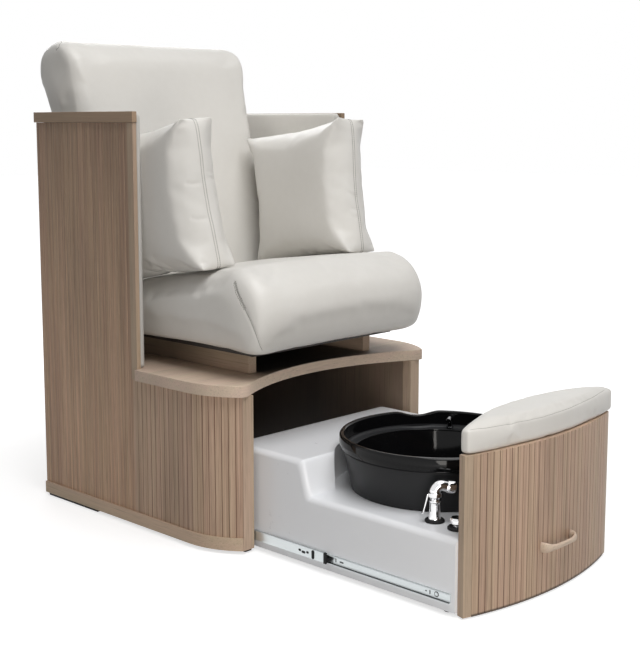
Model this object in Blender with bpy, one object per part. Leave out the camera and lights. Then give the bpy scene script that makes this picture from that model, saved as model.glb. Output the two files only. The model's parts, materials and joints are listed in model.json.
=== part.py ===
"""Pedicure chair: a reeded cabinet with a cushioned seat, and a drawer that carries the foot basin.

Metres, +Z up, front towards -Y. Depths are measured forwards from the rear edge of the side panels,
heights from the floor. The drawer is modelled pulled out, as it stands in use.
"""
import math

import bmesh
import bpy
from mathutils import Euler, Matrix, Vector

# Fits
FIT = 0.0003
SLIDE_PLAY = 0.0004

# Cabinet shell
HALF_WIDTH = 0.406
TRIM_PROUD = 0.004
PANEL_THICKNESS = 0.009
LINER_THICKNESS = 0.015
LINER_CORNER = 0.015
LINER_ROUNDING = 0.005
TALL_DEPTH = 0.452
TALL_TOP = 1.128
CAP_HEIGHT = 0.029
CAP_OVERHANG = 0.003
EDGE_STRIP_WIDTH = 0.025
SKIRTING_HEIGHT = 0.034
SKIRTING_THICKNESS = 0.006
BACK_PANEL_THICKNESS = 0.015
BACK_PANEL_CLEARANCE = 0.006
INNER_WALL_THICKNESS = 0.016
EDGE_ROUNDING = 0.0015

# Bow of the low front part of each side, in plan
BOW_START = 0.660
BOW_RADIUS = 0.215
BOW_TURN = math.radians(42)
POST_DEPTH = 0.030
POST_WIDTH = 0.0276

# Reeding
SLAT_WIDTH = 0.0184
REED_GROOVE_WIDTH = 0.0026
REED_GROOVE_DEPTH = 0.0022

# Floor glides
GLIDE_HEIGHT = 0.008
GLIDE_WIDTH = 0.024
REAR_GLIDE_LENGTH = 0.240
FRONT_GLIDE_LENGTH = 0.030
GLIDE_SETBACK = 0.010

# Deck shelf
SHELF_UNDERSIDE = 0.412
SHELF_THICKNESS = 0.030
SHELF_OVERHANG = 0.014
SHELF_HOLLOW = 0.095
SHELF_LIP = 0.016
SHELF_NOSE = 0.006

# Seat support
RISER_HEIGHT = 0.056
RISER_THICKNESS = 0.028
RISER_CENTRE = 0.226
RISER_FRONT = 0.712
RISER_REAR = 0.040
SEAT_BOARD_THICKNESS = 0.012
SEAT_BOARD_INSET = 0.062
BACK_RECLINE = math.radians(12.5)
BACK_FOOT_DEPTH = 0.076
BACK_BOARD_THICKNESS = 0.012
BACK_BOARD_INSET = 0.030
BRACKET_THICKNESS = 0.004
BRACKET_WIDTH = 0.040
BRACKET_SPACING = 0.320
BRACKET_FOOT = 0.200
BRACKET_RISE = 0.220

# Seat and back cushions
SEAT_SIDE_GAP = 0.044
SEAT_FRONT = 0.862
SEAT_UNDERCUT = 0.036
SEAT_ROLL = 0.120
SEAT_BELLY = 0.088
SEAT_HEIGHT = 0.217
SEAT_RAKE = math.radians(9.5)
SEAT_CROWN = 0.010
SEAT_EDGE = 0.042
SEAT_FRONT_CORNER = 0.058
SEAT_CORNER_SWEEP = 0.62
SEAT_SIDE_SWELL = 0.007
SEAT_SIDE_PANEL = 0.72
SEAT_FLAT_SHARE = 0.45
BACK_SIDE_GAP = 0.032
BACK_THICKNESS = 0.163
BACK_TOP = 1.333
BACK_BOTTOM = 0.560
BACK_CROWN = 0.012
BACK_WAIST = 0.008
BACK_SIDE_ROUNDING = 0.036
BACK_TOP_CORNER = 0.044
BACK_TOP_ROLL = 0.100
BACK_ROLL_SHARE = 0.92
HEAD_ROLL_DEPTH = 0.028
HEAD_ROLL_START = 0.270
HEAD_ROLL_FULL = 0.080

# Arm pillows
PILLOW_SIDE = 0.402
PILLOW_THICKNESS = 0.170
PILLOW_BAND = 0.112
PILLOW_BAND_SWELL = 0.010
PILLOW_DRAW = 0.014
PILLOW_LEAN = math.radians(9.5)
PILLOW_TILT = math.radians(3.0)
PILLOW_SETBACK = 0.443

# Drawer
DRAWER_TRAVEL = 0.636
CLOSED_GAP = 0.004
SLIDE_SPACE = 0.014
TUB_LENGTH = 0.770
TUB_WALL = 0.005
DECK_HEIGHT = 0.180
BLOCK_TOP = 0.268
BLOCK_SETBACK = 0.510
BLOCK_EASE = 0.037
TUB_ROUNDING = 0.016
TUB_REAR_ROUNDING = 0.026
BOW_STEP = 0.040
FRONT_BOW = 0.047
FRONT_SIDE_GAP = 0.0135
FRONT_THICKNESS = 0.022
FRONT_TOP = 0.375
FRONT_FLOOR_GAP = 0.003
FRONT_POST_WIDTH = 0.024

# Footrest
FOOTREST_BOARD = 0.012
FOOTREST_BOARD_INSET = 0.012
FOOTREST_BOARD_END = 0.037
PAD_HEIGHT = 0.057
PAD_CROWN = 0.006
PAD_EDGE = 0.010
PAD_OVERHANG = 0.001
PAD_END_OVERHANG = 0.003
PAD_OFF_CENTRE = 0.011
PAD_REAR_SETBACK = 0.094
PAD_REAR_BOW = 0.072

# Pull
PULL_LENGTH = 0.132
PULL_PROJECTION = 0.030
PULL_HEIGHT = 0.120
PULL_WAIST = 0.013
PULL_FOOT = 0.026
PULL_BAR = 0.009
PULL_GAP = 0.0006

# Basin
BASIN_SETBACK = 0.312
BASIN_RADIUS = 0.2515
BASIN_SEAT_RADIUS = 0.220
BASIN_RISE = 0.139
BASIN_BELOW = 0.108
BASIN_BAND = 0.033
BASIN_BAND_STEP = 0.008
BASIN_WALL = 0.014
BASIN_LEDGE = 0.026
BASIN_LEDGE_DROP = 0.044
RIM_DIP = 0.012
RIM_DIP_AT = math.radians(52)
RIM_DIP_HALF = math.radians(15)
COVE_GAP = 0.012
DRAIN_RADIUS = 0.034
DRAIN_HEIGHT = 0.005
SPOUT_AT = math.radians(30)
SPOUT_RADIUS = 0.0075
SPOUT_FLANGE = 0.0095
SPOUT_FLANGE_HEIGHT = 0.004
SPOUT_RISE = 0.036
SPOUT_REACH = 0.034

# Hand sprayer and valve
SPRAYER_SIDE = 0.0685
SPRAYER_SETBACK = 0.137
VALVE_SIDE = 0.0625
VALVE_SETBACK = 0.066
SOCKET_RADIUS = 0.0235
SOCKET_HEIGHT = 0.007
SOCKET_BORE = 0.0115
SPRAYER_RADIUS = 0.0135
SPRAYER_RISE = 0.092
SPRAYER_REACH = 0.046
SPRAYER_HEADING = math.radians(-38)
SPRAYER_SPIGOT = 0.006
LEVER_LENGTH = 0.046
LEVER_THICKNESS = 0.004
LEVER_WIDTH = 0.009
LEVER_SPLAY = math.radians(12)
VALVE_KNOB_RADIUS = 0.018
VALVE_KNOB_HEIGHT = 0.020
VALVE_STEM_RADIUS = 0.007

# Slides
SLIDE_SHEET = 0.0012
SLIDE_HEIGHT = 0.041
DRAWER_MEMBER_HALF = 0.01075
DRAWER_MEMBER_REACH = 0.0085
DRAWER_MEMBER_LENGTH = 0.655
DRAWER_MEMBER_SETBACK = 0.034
MIDDLE_WEB = 0.0094
MIDDLE_REACH = 0.0060
MIDDLE_SHARE = 0.45
MIDDLE_LENGTH = 0.650
CABINET_MEMBER_FRONT = 0.765
CABINET_MEMBER_LENGTH = 0.700
CABINET_MEMBER_REACH = 0.0075
BUMPER_LENGTH = 0.006
BUMPER_LIP = 0.0012
BUMPER_NOSE = 0.012
BUMPER_NOSE_HALF = 0.0035

# Rollers below the drawer front
ROLLER_RADIUS = 0.020
ROLLER_WIDTH = 0.016
ROLLER_SETBACK = 0.034
AXLE_RADIUS = 0.004
AXLE_FLANGE = 0.011
AXLE_FLANGE_THICKNESS = 0.003
AXLE_HEAD = 0.007
AXLE_HEAD_THICKNESS = 0.002

# Places worked out from the sizes above
FACE_X = HALF_WIDTH - TRIM_PROUD
PANEL_INNER_X = FACE_X - PANEL_THICKNESS
LINER_INNER_X = PANEL_INNER_X - LINER_THICKNESS
BOW_END_RUN = BOW_START + BOW_RADIUS * BOW_TURN
BOW_CENTRE_X = FACE_X - BOW_RADIUS
POST_OUTER_X = BOW_CENTRE_X + (BOW_RADIUS - PANEL_THICKNESS) * math.cos(BOW_TURN)
OPENING_HALF_WIDTH = POST_OUTER_X - POST_WIDTH
SHELF_END_X = BOW_CENTRE_X + (BOW_RADIUS + SHELF_OVERHANG) * math.cos(BOW_TURN) - SHELF_NOSE
SHELF_HOLLOW_HALF = SHELF_END_X - SHELF_LIP
SEAT_HALF_WIDTH = LINER_INNER_X - SEAT_SIDE_GAP
BACK_HALF_WIDTH = LINER_INNER_X - BACK_SIDE_GAP
CAP_UNDERSIDE = TALL_TOP - CAP_HEIGHT
SHELF_TOP = SHELF_UNDERSIDE + SHELF_THICKNESS
RISER_TOP = SHELF_TOP + RISER_HEIGHT
SEAT_BOARD_TOP = RISER_TOP + SEAT_BOARD_THICKNESS + FIT
SEAT_BASE = SEAT_BOARD_TOP + FIT
POST_FRONT = BOW_START + (BOW_RADIUS + SKIRTING_THICKNESS) * math.sin(BOW_TURN)
DRAWER_HALF_WIDTH = OPENING_HALF_WIDTH - SLIDE_SPACE
SPRAYER_X = SPRAYER_SIDE - DRAWER_HALF_WIDTH
VALVE_X = VALVE_SIDE - DRAWER_HALF_WIDTH
FRONT_HALF_WIDTH = OPENING_HALF_WIDTH - FRONT_SIDE_GAP
FOOTREST_BOARD_HALF = FRONT_HALF_WIDTH - FOOTREST_BOARD_END
PAD_HALF_LENGTH = FRONT_HALF_WIDTH + PAD_END_OVERHANG
FRONT_END = POST_FRONT + CLOSED_GAP + FRONT_THICKNESS + DRAWER_TRAVEL
FRONT_RADIUS = (FRONT_HALF_WIDTH ** 2 + FRONT_BOW ** 2) / (2 * FRONT_BOW)
FRONT_CENTRE_Y = FRONT_RADIUS - FRONT_END - FRONT_BOW
FRONT_HALF_ANGLE = math.asin(FRONT_HALF_WIDTH / FRONT_RADIUS)
BASIN_TOP = DECK_HEIGHT + BASIN_RISE
BASIN_FLOOR = DECK_HEIGHT - BASIN_BELOW + BASIN_WALL
BASIN_LEDGE_RADIUS = BASIN_RADIUS - BASIN_WALL - BASIN_LEDGE
BASIN_LEDGE_TOP = BASIN_TOP - BASIN_LEDGE_DROP
BASIN_DEPTH = FRONT_END - BASIN_SETBACK
MIDDLE_FRONT = CABINET_MEMBER_FRONT + MIDDLE_SHARE * DRAWER_TRAVEL
BACK_REAR = BRACKET_THICKNESS + FIT + BACK_BOARD_THICKNESS + FIT
BACK_FACE = BACK_REAR + BACK_THICKNESS
BACK_LOW = (BACK_BOTTOM - RISER_TOP) / math.cos(BACK_RECLINE)
BACK_APEX = (BACK_REAR + BACK_FACE) / 2
BACK_HIGH = (BACK_TOP - RISER_TOP - BACK_APEX * math.sin(BACK_RECLINE)) / math.cos(BACK_RECLINE)

CIRCLE = 48
SMALL_CIRCLE = 20


def clear_scene():
    for item in list(bpy.data.objects):
        bpy.data.objects.remove(item, do_unlink=True)


def material(name, colour, roughness, metallic=0.0):
    made = bpy.data.materials.new(name)
    made.use_nodes = True
    shader = made.node_tree.nodes["Principled BSDF"]
    shader.inputs["Base Color"].default_value = (*colour, 1.0)
    shader.inputs["Roughness"].default_value = roughness
    shader.inputs["Metallic"].default_value = metallic
    return made


def empty(name, parent=None, location=(0, 0, 0), rotation=(0, 0, 0)):
    holder = bpy.data.objects.new(name, None)
    bpy.context.collection.objects.link(holder)
    holder.parent = parent
    holder.location = location
    holder.rotation_euler = rotation
    return holder


def piece(name, bm, finish, parent, location=(0, 0, 0), rotation=(0, 0, 0), sharp=35):
    """Turn a bmesh into a named object with its faces out, smooth below the sharp angle."""
    bmesh.ops.recalc_face_normals(bm, faces=bm.faces)
    mesh = bpy.data.meshes.new(name)
    bm.to_mesh(mesh)
    bm.free()
    mesh.shade_smooth()
    mesh.set_sharp_from_angle(angle=math.radians(sharp))
    made = bpy.data.objects.new(name, mesh)
    bpy.context.collection.objects.link(made)
    made.parent = parent
    made.location = location
    made.rotation_euler = rotation
    if finish:
        mesh.materials.append(finish)
    return made


def cutter(name, bm, parent):
    """A hidden tool body for a Boolean."""
    made = piece(name, bm, None, parent)
    made.hide_render = True
    made.display_type = "WIRE"
    return made


def boolean(target, tool, operation="DIFFERENCE"):
    step = target.modifiers.new(operation.title(), "BOOLEAN")
    step.operation = operation
    step.object = tool


def rounded(target, width=EDGE_ROUNDING, segments=2, angle=50):
    step = target.modifiers.new("Rounded edges", "BEVEL")
    step.width = width
    step.segments = segments
    step.limit_method = "ANGLE"
    step.angle_limit = math.radians(angle)
    return target


def without_straight_points(outline):
    """Drop the points that lie on the straight line between their neighbours."""
    kept = []
    for i, here in enumerate(outline):
        before = Vector(outline[i - 1])
        after = Vector(outline[(i + 1) % len(outline)])
        one = Vector(here) - before
        two = after - Vector(here)
        if abs(one.x * two.y - one.y * two.x) > 1e-9:
            kept.append(here)
    return kept


def prism(outline, low, high, plane="XY"):
    """Extrude a flat outline between two levels, square to the plane named."""
    place = {
        "XY": lambda a, b, level: (a, b, level),
        "YZ": lambda a, b, level: (level, a, b),
        "XZ": lambda a, b, level: (a, level, b),
    }[plane]
    bm = bmesh.new()
    points = without_straight_points(outline)
    bottom = [bm.verts.new(place(a, b, low)) for a, b in points]
    top = [bm.verts.new(place(a, b, high)) for a, b in points]
    bm.faces.new(bottom)
    bm.faces.new(reversed(top))
    for i in range(len(points)):
        j = (i + 1) % len(points)
        bm.faces.new((bottom[i], bottom[j], top[j], top[i]))
    return bm


def block(x, y, z):
    """A box from three (low, high) pairs."""
    outline = [(x[0], y[0]), (x[1], y[0]), (x[1], y[1]), (x[0], y[1])]
    return prism(outline, z[0], z[1])


def loft(rings, closed=False):
    """Skin over rings of equal count. A closed loft joins its last ring to its first."""
    bm = bmesh.new()
    made = [[bm.verts.new(point) for point in ring] for ring in rings]
    count = len(made[0])
    pairs = list(zip(made, made[1:]))
    if closed:
        pairs.append((made[-1], made[0]))
    else:
        bm.faces.new(made[0])
        bm.faces.new(reversed(made[-1]))
    for one, two in pairs:
        for i in range(count):
            j = (i + 1) % count
            bm.faces.new((one[i], one[j], two[j], two[i]))
    return bm


def circle(radius, level, count):
    turns = [2 * math.pi * i / count for i in range(count)]
    return [Vector((radius * math.cos(a), radius * math.sin(a), level)) for a in turns]


def turned(profile, count, closed=False):
    """A body of revolution about Z from (radius, height) points."""
    return loft([circle(radius, level, count) for radius, level in profile], closed)


def arc(centre, radius, start, end, steps):
    angles = [start + (end - start) * i / steps for i in range(steps + 1)]
    return [(centre[0] + radius * math.cos(a), centre[1] + radius * math.sin(a)) for a in angles]


def round_inset(position, limit, radius):
    """How far a rounded edge draws in at a position near its limit."""
    over = min(max(abs(position) - (limit - radius), 0.0), radius)
    return radius - math.sqrt(radius * radius - over * over)


def edge_stations(limit, radius, steps):
    """Positions through the rounded edge at a limit, from flat to the edge itself."""
    return [limit - radius + radius * math.sin(math.pi / 2 * i / steps) for i in range(steps + 1)]


def mirrored(outline, side):
    return [(side * x, y) for x, y in outline]


def side_place(offset, run):
    """Plan point on the right side's face at a run from its rear edge, moved out by an offset."""
    if run <= BOW_START:
        return (FACE_X + offset, -run)
    turn = (run - BOW_START) / BOW_RADIUS
    radius = BOW_RADIUS + offset
    return (BOW_CENTRE_X + radius * math.cos(turn), -BOW_START - radius * math.sin(turn))


def front_place(offset, run):
    """Plan point on the bowed drawer front at a run from its left end, moved out by an offset."""
    turn = run / FRONT_RADIUS - FRONT_HALF_ANGLE
    radius = FRONT_RADIUS + offset
    return (radius * math.sin(turn), FRONT_CENTRE_Y - radius * math.cos(turn))


def front_y(offset, x):
    """Where the drawer front's face, moved out by an offset, stands at a given x."""
    return FRONT_CENTRE_Y - math.sqrt((FRONT_RADIUS + offset) ** 2 - x * x)


def runs(start, end, step):
    count = max(1, round((end - start) / step))
    return [start + (end - start) * i / count for i in range(count + 1)]


def strip_outline(place, start, end, inner, outer, step):
    """Plan outline of a plain strip that follows a face."""
    stops = runs(start, end, step)
    return [place(outer, run) for run in stops] + [place(inner, run) for run in reversed(stops)]


def reeded_outline(place, start, end):
    """Plan outline of a panel of flat slats with a V groove at each joint."""
    stops = runs(start, end, SLAT_WIDTH)
    face = [place(0, start)]
    for run in stops[1:-1]:
        face.append(place(0, run - REED_GROOVE_WIDTH / 2))
        face.append(place(-REED_GROOVE_DEPTH, run))
        face.append(place(0, run + REED_GROOVE_WIDTH / 2))
    face.append(place(0, end))
    return face + [place(-PANEL_THICKNESS, run) for run in reversed(stops)]


def channel(web, reach, half, sheet):
    """Section of a folded sheet channel: web at one place, lips reaching to another."""
    inside = web + math.copysign(sheet, reach - web)
    return [
        (web, -half), (reach, -half), (reach, sheet - half), (inside, sheet - half),
        (inside, half - sheet), (reach, half - sheet), (reach, half), (web, half),
    ]


def cabinet_side(name, side, chair, finishes):
    """Reeded panels, post, trims, liner and inner wall of one side."""
    wood, tan, cream = finishes["reeded wood"], finishes["tan wood"], finishes["cream vinyl"]
    strip_start = TALL_DEPTH - EDGE_STRIP_WIDTH

    def standing(label, outline, low, high, finish):
        return piece(f"{label}_{name}", prism(mirrored(outline, side), low, high), finish, chair)

    def slab(label, near, far, back, front, low, high, finish):
        outline = [(near, -back), (far, -back), (far, -front), (near, -front)]
        return standing(label, outline, low, high, finish)

    standing("side_panel", reeded_outline(side_place, 0, strip_start - FIT),
             GLIDE_HEIGHT, CAP_UNDERSIDE - FIT, wood)
    standing("bow_panel", reeded_outline(side_place, strip_start, BOW_END_RUN),
             GLIDE_HEIGHT, SHELF_UNDERSIDE - FIT, wood)
    slab("edge_strip", PANEL_INNER_X + FIT, HALF_WIDTH, strip_start, TALL_DEPTH,
         SHELF_UNDERSIDE, CAP_UNDERSIDE - FIT, tan)
    rounded(slab("top_cap", PANEL_INNER_X + FIT, HALF_WIDTH + CAP_OVERHANG,
                 -CAP_OVERHANG, TALL_DEPTH + CAP_OVERHANG, CAP_UNDERSIDE, TALL_TOP, tan))
    skirting = strip_outline(side_place, 0, BOW_END_RUN, FIT, SKIRTING_THICKNESS, SLAT_WIDTH)
    standing("skirting", skirting, GLIDE_HEIGHT, GLIDE_HEIGHT + SKIRTING_HEIGHT, tan)

    end_out = side_place(SKIRTING_THICKNESS, BOW_END_RUN + FIT)
    end_in = side_place(-PANEL_THICKNESS, BOW_END_RUN + FIT)
    post_back = POST_DEPTH - POST_FRONT
    post = [end_out, end_in, (end_in[0], post_back),
            (OPENING_HALF_WIDTH, post_back), (OPENING_HALF_WIDTH, -POST_FRONT)]
    rounded(standing("front_post", post, GLIDE_HEIGHT, SHELF_UNDERSIDE - FIT, tan))

    slab("inner_wall", OPENING_HALF_WIDTH, OPENING_HALF_WIDTH + INNER_WALL_THICKNESS,
         BACK_PANEL_THICKNESS + FIT, -post_back - FIT, GLIDE_HEIGHT, SHELF_UNDERSIDE - FIT,
         finishes["inner wood"])

    liner_top = TALL_TOP - FIT
    corner = arc((LINER_CORNER - TALL_DEPTH, liner_top - LINER_CORNER), LINER_CORNER,
                 math.pi, math.pi / 2, 4)
    face = [(-BACK_PANEL_THICKNESS - FIT, SHELF_TOP + FIT), (-TALL_DEPTH, SHELF_TOP + FIT), *corner,
            (-BACK_PANEL_THICKNESS - FIT, liner_top)]
    levels = sorted((side * LINER_INNER_X, side * (PANEL_INNER_X - FIT)))
    liner = piece(f"side_liner_{name}", prism(face, *levels, plane="YZ"), cream, chair)
    rounded(liner, LINER_ROUNDING, 3)

    slab("rear_glide", FACE_X - GLIDE_WIDTH, FACE_X, GLIDE_SETBACK,
         GLIDE_SETBACK + REAR_GLIDE_LENGTH, 0, GLIDE_HEIGHT - FIT, finishes["black"])
    slab("front_glide", OPENING_HALF_WIDTH + EDGE_ROUNDING, OPENING_HALF_WIDTH + GLIDE_WIDTH,
         POST_FRONT - POST_DEPTH - FRONT_GLIDE_LENGTH, POST_FRONT - GLIDE_SETBACK,
         0, GLIDE_HEIGHT - FIT, finishes["black"])


def cabinet_shell(chair, finishes):
    """The shelf with its hollow front edge, and the plain back."""
    hollow_radius = (SHELF_HOLLOW_HALF ** 2 + SHELF_HOLLOW ** 2) / (2 * SHELF_HOLLOW)
    lip = POST_FRONT + SHELF_NOSE
    half_angle = math.asin(SHELF_HOLLOW_HALF / hollow_radius)
    centre = (0, SHELF_HOLLOW - lip - hollow_radius)
    inside = PANEL_INNER_X - FIT
    notch = inside - EDGE_ROUNDING
    right = [(notch, -BACK_PANEL_THICKNESS - FIT), (notch, -TALL_DEPTH - FIT)]
    stops = runs(TALL_DEPTH + FIT, BOW_END_RUN, SLAT_WIDTH)
    right += [side_place(SHELF_OVERHANG, run) for run in stops]
    right.append((SHELF_END_X, -lip))
    hollow = arc(centre, hollow_radius, math.pi / 2 - half_angle, math.pi / 2 + half_angle, 28)
    outline = right + hollow + mirrored(reversed(right), -1)
    shelf = prism(outline, SHELF_UNDERSIDE, SHELF_TOP)
    rounded(piece("deck_shelf", shelf, finishes["tan wood"], chair))

    behind_back = BACK_FOOT_DEPTH - BACK_PANEL_THICKNESS - BACK_PANEL_CLEARANCE
    top = RISER_TOP + behind_back / math.tan(BACK_RECLINE)
    back = block((-inside, inside), (-BACK_PANEL_THICKNESS, 0), (GLIDE_HEIGHT, top))
    piece("back_panel", back, finishes["reeded wood"], chair)


def seat_support(chair, finishes):
    """Risers, boards and brackets that carry the cushions. Returns the reclined holder of the back."""
    for name, side in (("left", -1), ("right", 1)):
        near = side * RISER_CENTRE - RISER_THICKNESS / 2
        riser = block((near, near + RISER_THICKNESS), (-RISER_FRONT, -RISER_REAR),
                      (SHELF_TOP + FIT, RISER_TOP))
        rounded(piece(f"seat_riser_{name}", riser, finishes["tan wood"], chair))

    half = SEAT_HALF_WIDTH - SEAT_BOARD_INSET
    front = SEAT_FRONT - SEAT_UNDERCUT - SEAT_BOARD_INSET
    board = block((-half, half), (-front, -BACK_FOOT_DEPTH - BACK_REAR - FIT),
                  (RISER_TOP + FIT, SEAT_BOARD_TOP))
    piece("seat_board", board, finishes["inner wood"], chair)

    back = empty("back_recline", chair, (0, -BACK_FOOT_DEPTH, RISER_TOP), (-BACK_RECLINE, 0, 0))
    half = BACK_HALF_WIDTH - BACK_BOARD_INSET - BACK_WAIST
    near = BRACKET_THICKNESS + FIT
    levels = (BACK_LOW, BACK_HIGH - HEAD_ROLL_START)
    board = block((-half, half), (-near - BACK_BOARD_THICKNESS, -near), levels)
    rounded(piece("back_board", board, finishes["cream vinyl"], back), 4 * EDGE_ROUNDING, 3)

    bend = BRACKET_THICKNESS / math.cos(BACK_RECLINE)
    lean = math.tan(BACK_RECLINE)
    rise = BRACKET_RISE * math.cos(BACK_RECLINE)
    foot = BACK_FOOT_DEPTH + BRACKET_FOOT
    under = RISER_TOP - BRACKET_THICKNESS
    drop = BRACKET_THICKNESS * lean
    strap = [(-foot, under), (-BACK_FOOT_DEPTH - drop, under),
             (rise * lean - BACK_FOOT_DEPTH, RISER_TOP + rise),
             (rise * lean - BACK_FOOT_DEPTH - bend, RISER_TOP + rise),
             (-BACK_FOOT_DEPTH - bend, RISER_TOP), (-foot, RISER_TOP)]
    for name, side in (("left", -1), ("right", 1)):
        near = side * BRACKET_SPACING / 2 - BRACKET_WIDTH / 2
        bracket = prism(strap, near, near + BRACKET_WIDTH, "YZ")
        piece(f"back_bracket_{name}", bracket, finishes["zinc"], chair)
    return back


def back_face(level, x=0.0):
    """Depth of the back cushion's crowned face at a height and a place across its width."""
    lean = (level - RISER_TOP) * math.tan(BACK_RECLINE)
    crown = BACK_CROWN * (1 - (x / BACK_HALF_WIDTH) ** 2)
    return BACK_FOOT_DEPTH + (BACK_FACE + crown) / math.cos(BACK_RECLINE) - lean


def seat_form(x):
    """Front depth, roll, brow height and crown of the seat at one place across its width."""
    reach = min(abs(x), SEAT_HALF_WIDTH)
    edge = round_inset(reach, SEAT_HALF_WIDTH, SEAT_EDGE)
    corner = round_inset(reach, SEAT_HALF_WIDTH, SEAT_FRONT_CORNER)
    crown = SEAT_CROWN * math.cos(math.pi / 2 * reach / SEAT_HALF_WIDTH)
    front = SEAT_FRONT - corner * SEAT_CORNER_SWEEP
    roll = SEAT_ROLL - corner * SEAT_CORNER_SWEEP / 2
    return front, roll, SEAT_BASE + SEAT_HEIGHT - edge + crown, crown


def seat_deck(x):
    """Raked and crowned top of the seat at one place across its width, as (depth, level) from its brow."""
    front, roll, brow, crown = seat_form(x)
    edge = SEAT_BASE + SEAT_HEIGHT + crown - brow
    rear_foot = back_face(SEAT_BASE + edge / 4) + FIT
    rear_top = brow - (front - roll - rear_foot) * math.tan(SEAT_RAKE)
    rear = back_face(rear_top - SEAT_EDGE) + FIT + edge / 2
    deck = []
    for i in range(6):
        along = i / 5
        swell = crown * math.sin(math.pi * along)
        deck.append((front - roll + (rear - front + roll) * along, brow + (rear_top - brow) * along + swell))
    return deck


def seat_level(x, depth):
    """Height of the top of the seat at a place in plan."""
    deck = seat_deck(x)
    for (near, high), (far, low) in zip(deck, deck[1:]):
        if depth >= far:
            return high + (low - high) * (near - depth) / (near - far)
    return deck[-1][1]


def seat_section(x):
    """Side outline of the seat cushion at one place across its width, as (y, z) points."""
    front, roll, brow, crown = seat_form(x)
    edge = SEAT_BASE + SEAT_HEIGHT + crown - brow
    undercut = SEAT_UNDERCUT - edge * SEAT_CORNER_SWEEP / 2
    foot = SEAT_BASE + edge / 4
    belly = SEAT_BASE + SEAT_BELLY
    rear_foot = back_face(foot) + FIT
    deck = seat_deck(x)
    rear, rear_top = deck[-1]
    quarter = [math.pi / 2 * i / 8 for i in range(9)]
    below = [(front - undercut + undercut * math.sin(a), belly - (belly - foot) * math.cos(a))
             for a in quarter[::2]]
    above = [(front - roll + roll * math.cos(a), belly + (brow - belly) * math.sin(a))
             for a in quarter[1:]]
    back = arc((rear + SEAT_EDGE, rear_top - SEAT_EDGE), SEAT_EDGE, math.pi / 2, math.pi, 4)
    return [(-depth, z) for depth, z in below + above + deck[1:-1] + back + [(rear_foot, foot)]]


def seat_cushion(chair, finish):
    """Seat with a rolled front, a raked crowned top and soft boxed sides."""
    edges = edge_stations(SEAT_HALF_WIDTH, SEAT_FRONT_CORNER, 6)
    right = [0.0, SEAT_HALF_WIDTH * SEAT_FLAT_SHARE] + edges
    stations = [-x for x in reversed(right[1:])] + right
    rings = [[Vector((x, y, z)) for y, z in seat_section(x)] for x in stations]
    middle = sum(rings[0], Vector()) / len(rings[0])
    middle.x = 0
    for side in (-1, 1):
        ring = rings[0] if side < 0 else rings[-1]
        swell = []
        for point in ring:
            drawn = middle + (point - middle) * SEAT_SIDE_PANEL
            drawn.x = side * (SEAT_HALF_WIDTH + SEAT_SIDE_SWELL)
            swell.append(drawn)
        rings.insert(0 if side < 0 else len(rings), swell)
    piece("seat_cushion", loft(rings), finish, chair, sharp=60)


def smooth_step(value, start, end):
    share = min(max((value - start) / (end - start), 0.0), 1.0)
    return share * share * (3 - 2 * share)


def back_ring(level):
    """Outline of the back cushion at one level of the recline, as points about its middle."""
    span = (level - BACK_LOW) / (BACK_HIGH - BACK_LOW)
    roll = round_inset(level, BACK_HIGH, BACK_TOP_ROLL) * BACK_ROLL_SHARE
    foot = round_inset(BACK_LOW + BACK_HIGH - level, BACK_HIGH, BACK_SIDE_ROUNDING)
    head = smooth_step(level, BACK_HIGH - HEAD_ROLL_START, BACK_HIGH - HEAD_ROLL_FULL)
    near = BACK_REAR + roll + foot / 4 - HEAD_ROLL_DEPTH * head
    far = BACK_FACE - roll - foot
    half = BACK_HALF_WIDTH - BACK_WAIST * math.sin(math.pi * span)
    half -= round_inset(level, BACK_HIGH, BACK_TOP_CORNER)
    rounding = min(BACK_SIDE_ROUNDING, (far - near) * 0.4)
    flat = half - rounding
    ring = arc((flat, -near - rounding), rounding, 0, math.pi / 2, 4)
    ring += arc((-flat, -near - rounding), rounding, math.pi / 2, math.pi, 4)
    ring += arc((-flat, rounding - far), rounding, math.pi, 3 * math.pi / 2, 4)
    ring += [(flat * share, -far) for share in (-2 / 3, -1 / 3, 0, 1 / 3, 2 / 3)]
    ring += arc((flat, rounding - far), rounding, 3 * math.pi / 2, 2 * math.pi, 4)
    rise = math.sqrt(max(math.sin(math.pi * span), 0.0))
    points = []
    for x, y in ring:
        forward = (-near - y) / (far - near)
        crown = BACK_CROWN * rise * max(1 - (x / half) ** 2, 0.0) * forward
        points.append(Vector((x, y - crown, level)))
    return points


def back_cushion(back, finish):
    """Reclined back with a crowned face, drawn-in sides and a head roll, in the recline's own frame."""
    straight = BACK_HIGH - BACK_TOP_ROLL - BACK_LOW
    stations = [BACK_LOW, BACK_LOW + BACK_SIDE_ROUNDING / 3, BACK_LOW + BACK_SIDE_ROUNDING]
    stations += [BACK_LOW + straight * share for share in (0.2, 0.35, 0.5, 0.62, 0.74, 0.87)]
    stations += edge_stations(BACK_HIGH, BACK_TOP_ROLL, 7)
    piece("back_cushion", loft([back_ring(level) for level in stations]), finish, back, sharp=60)


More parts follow.
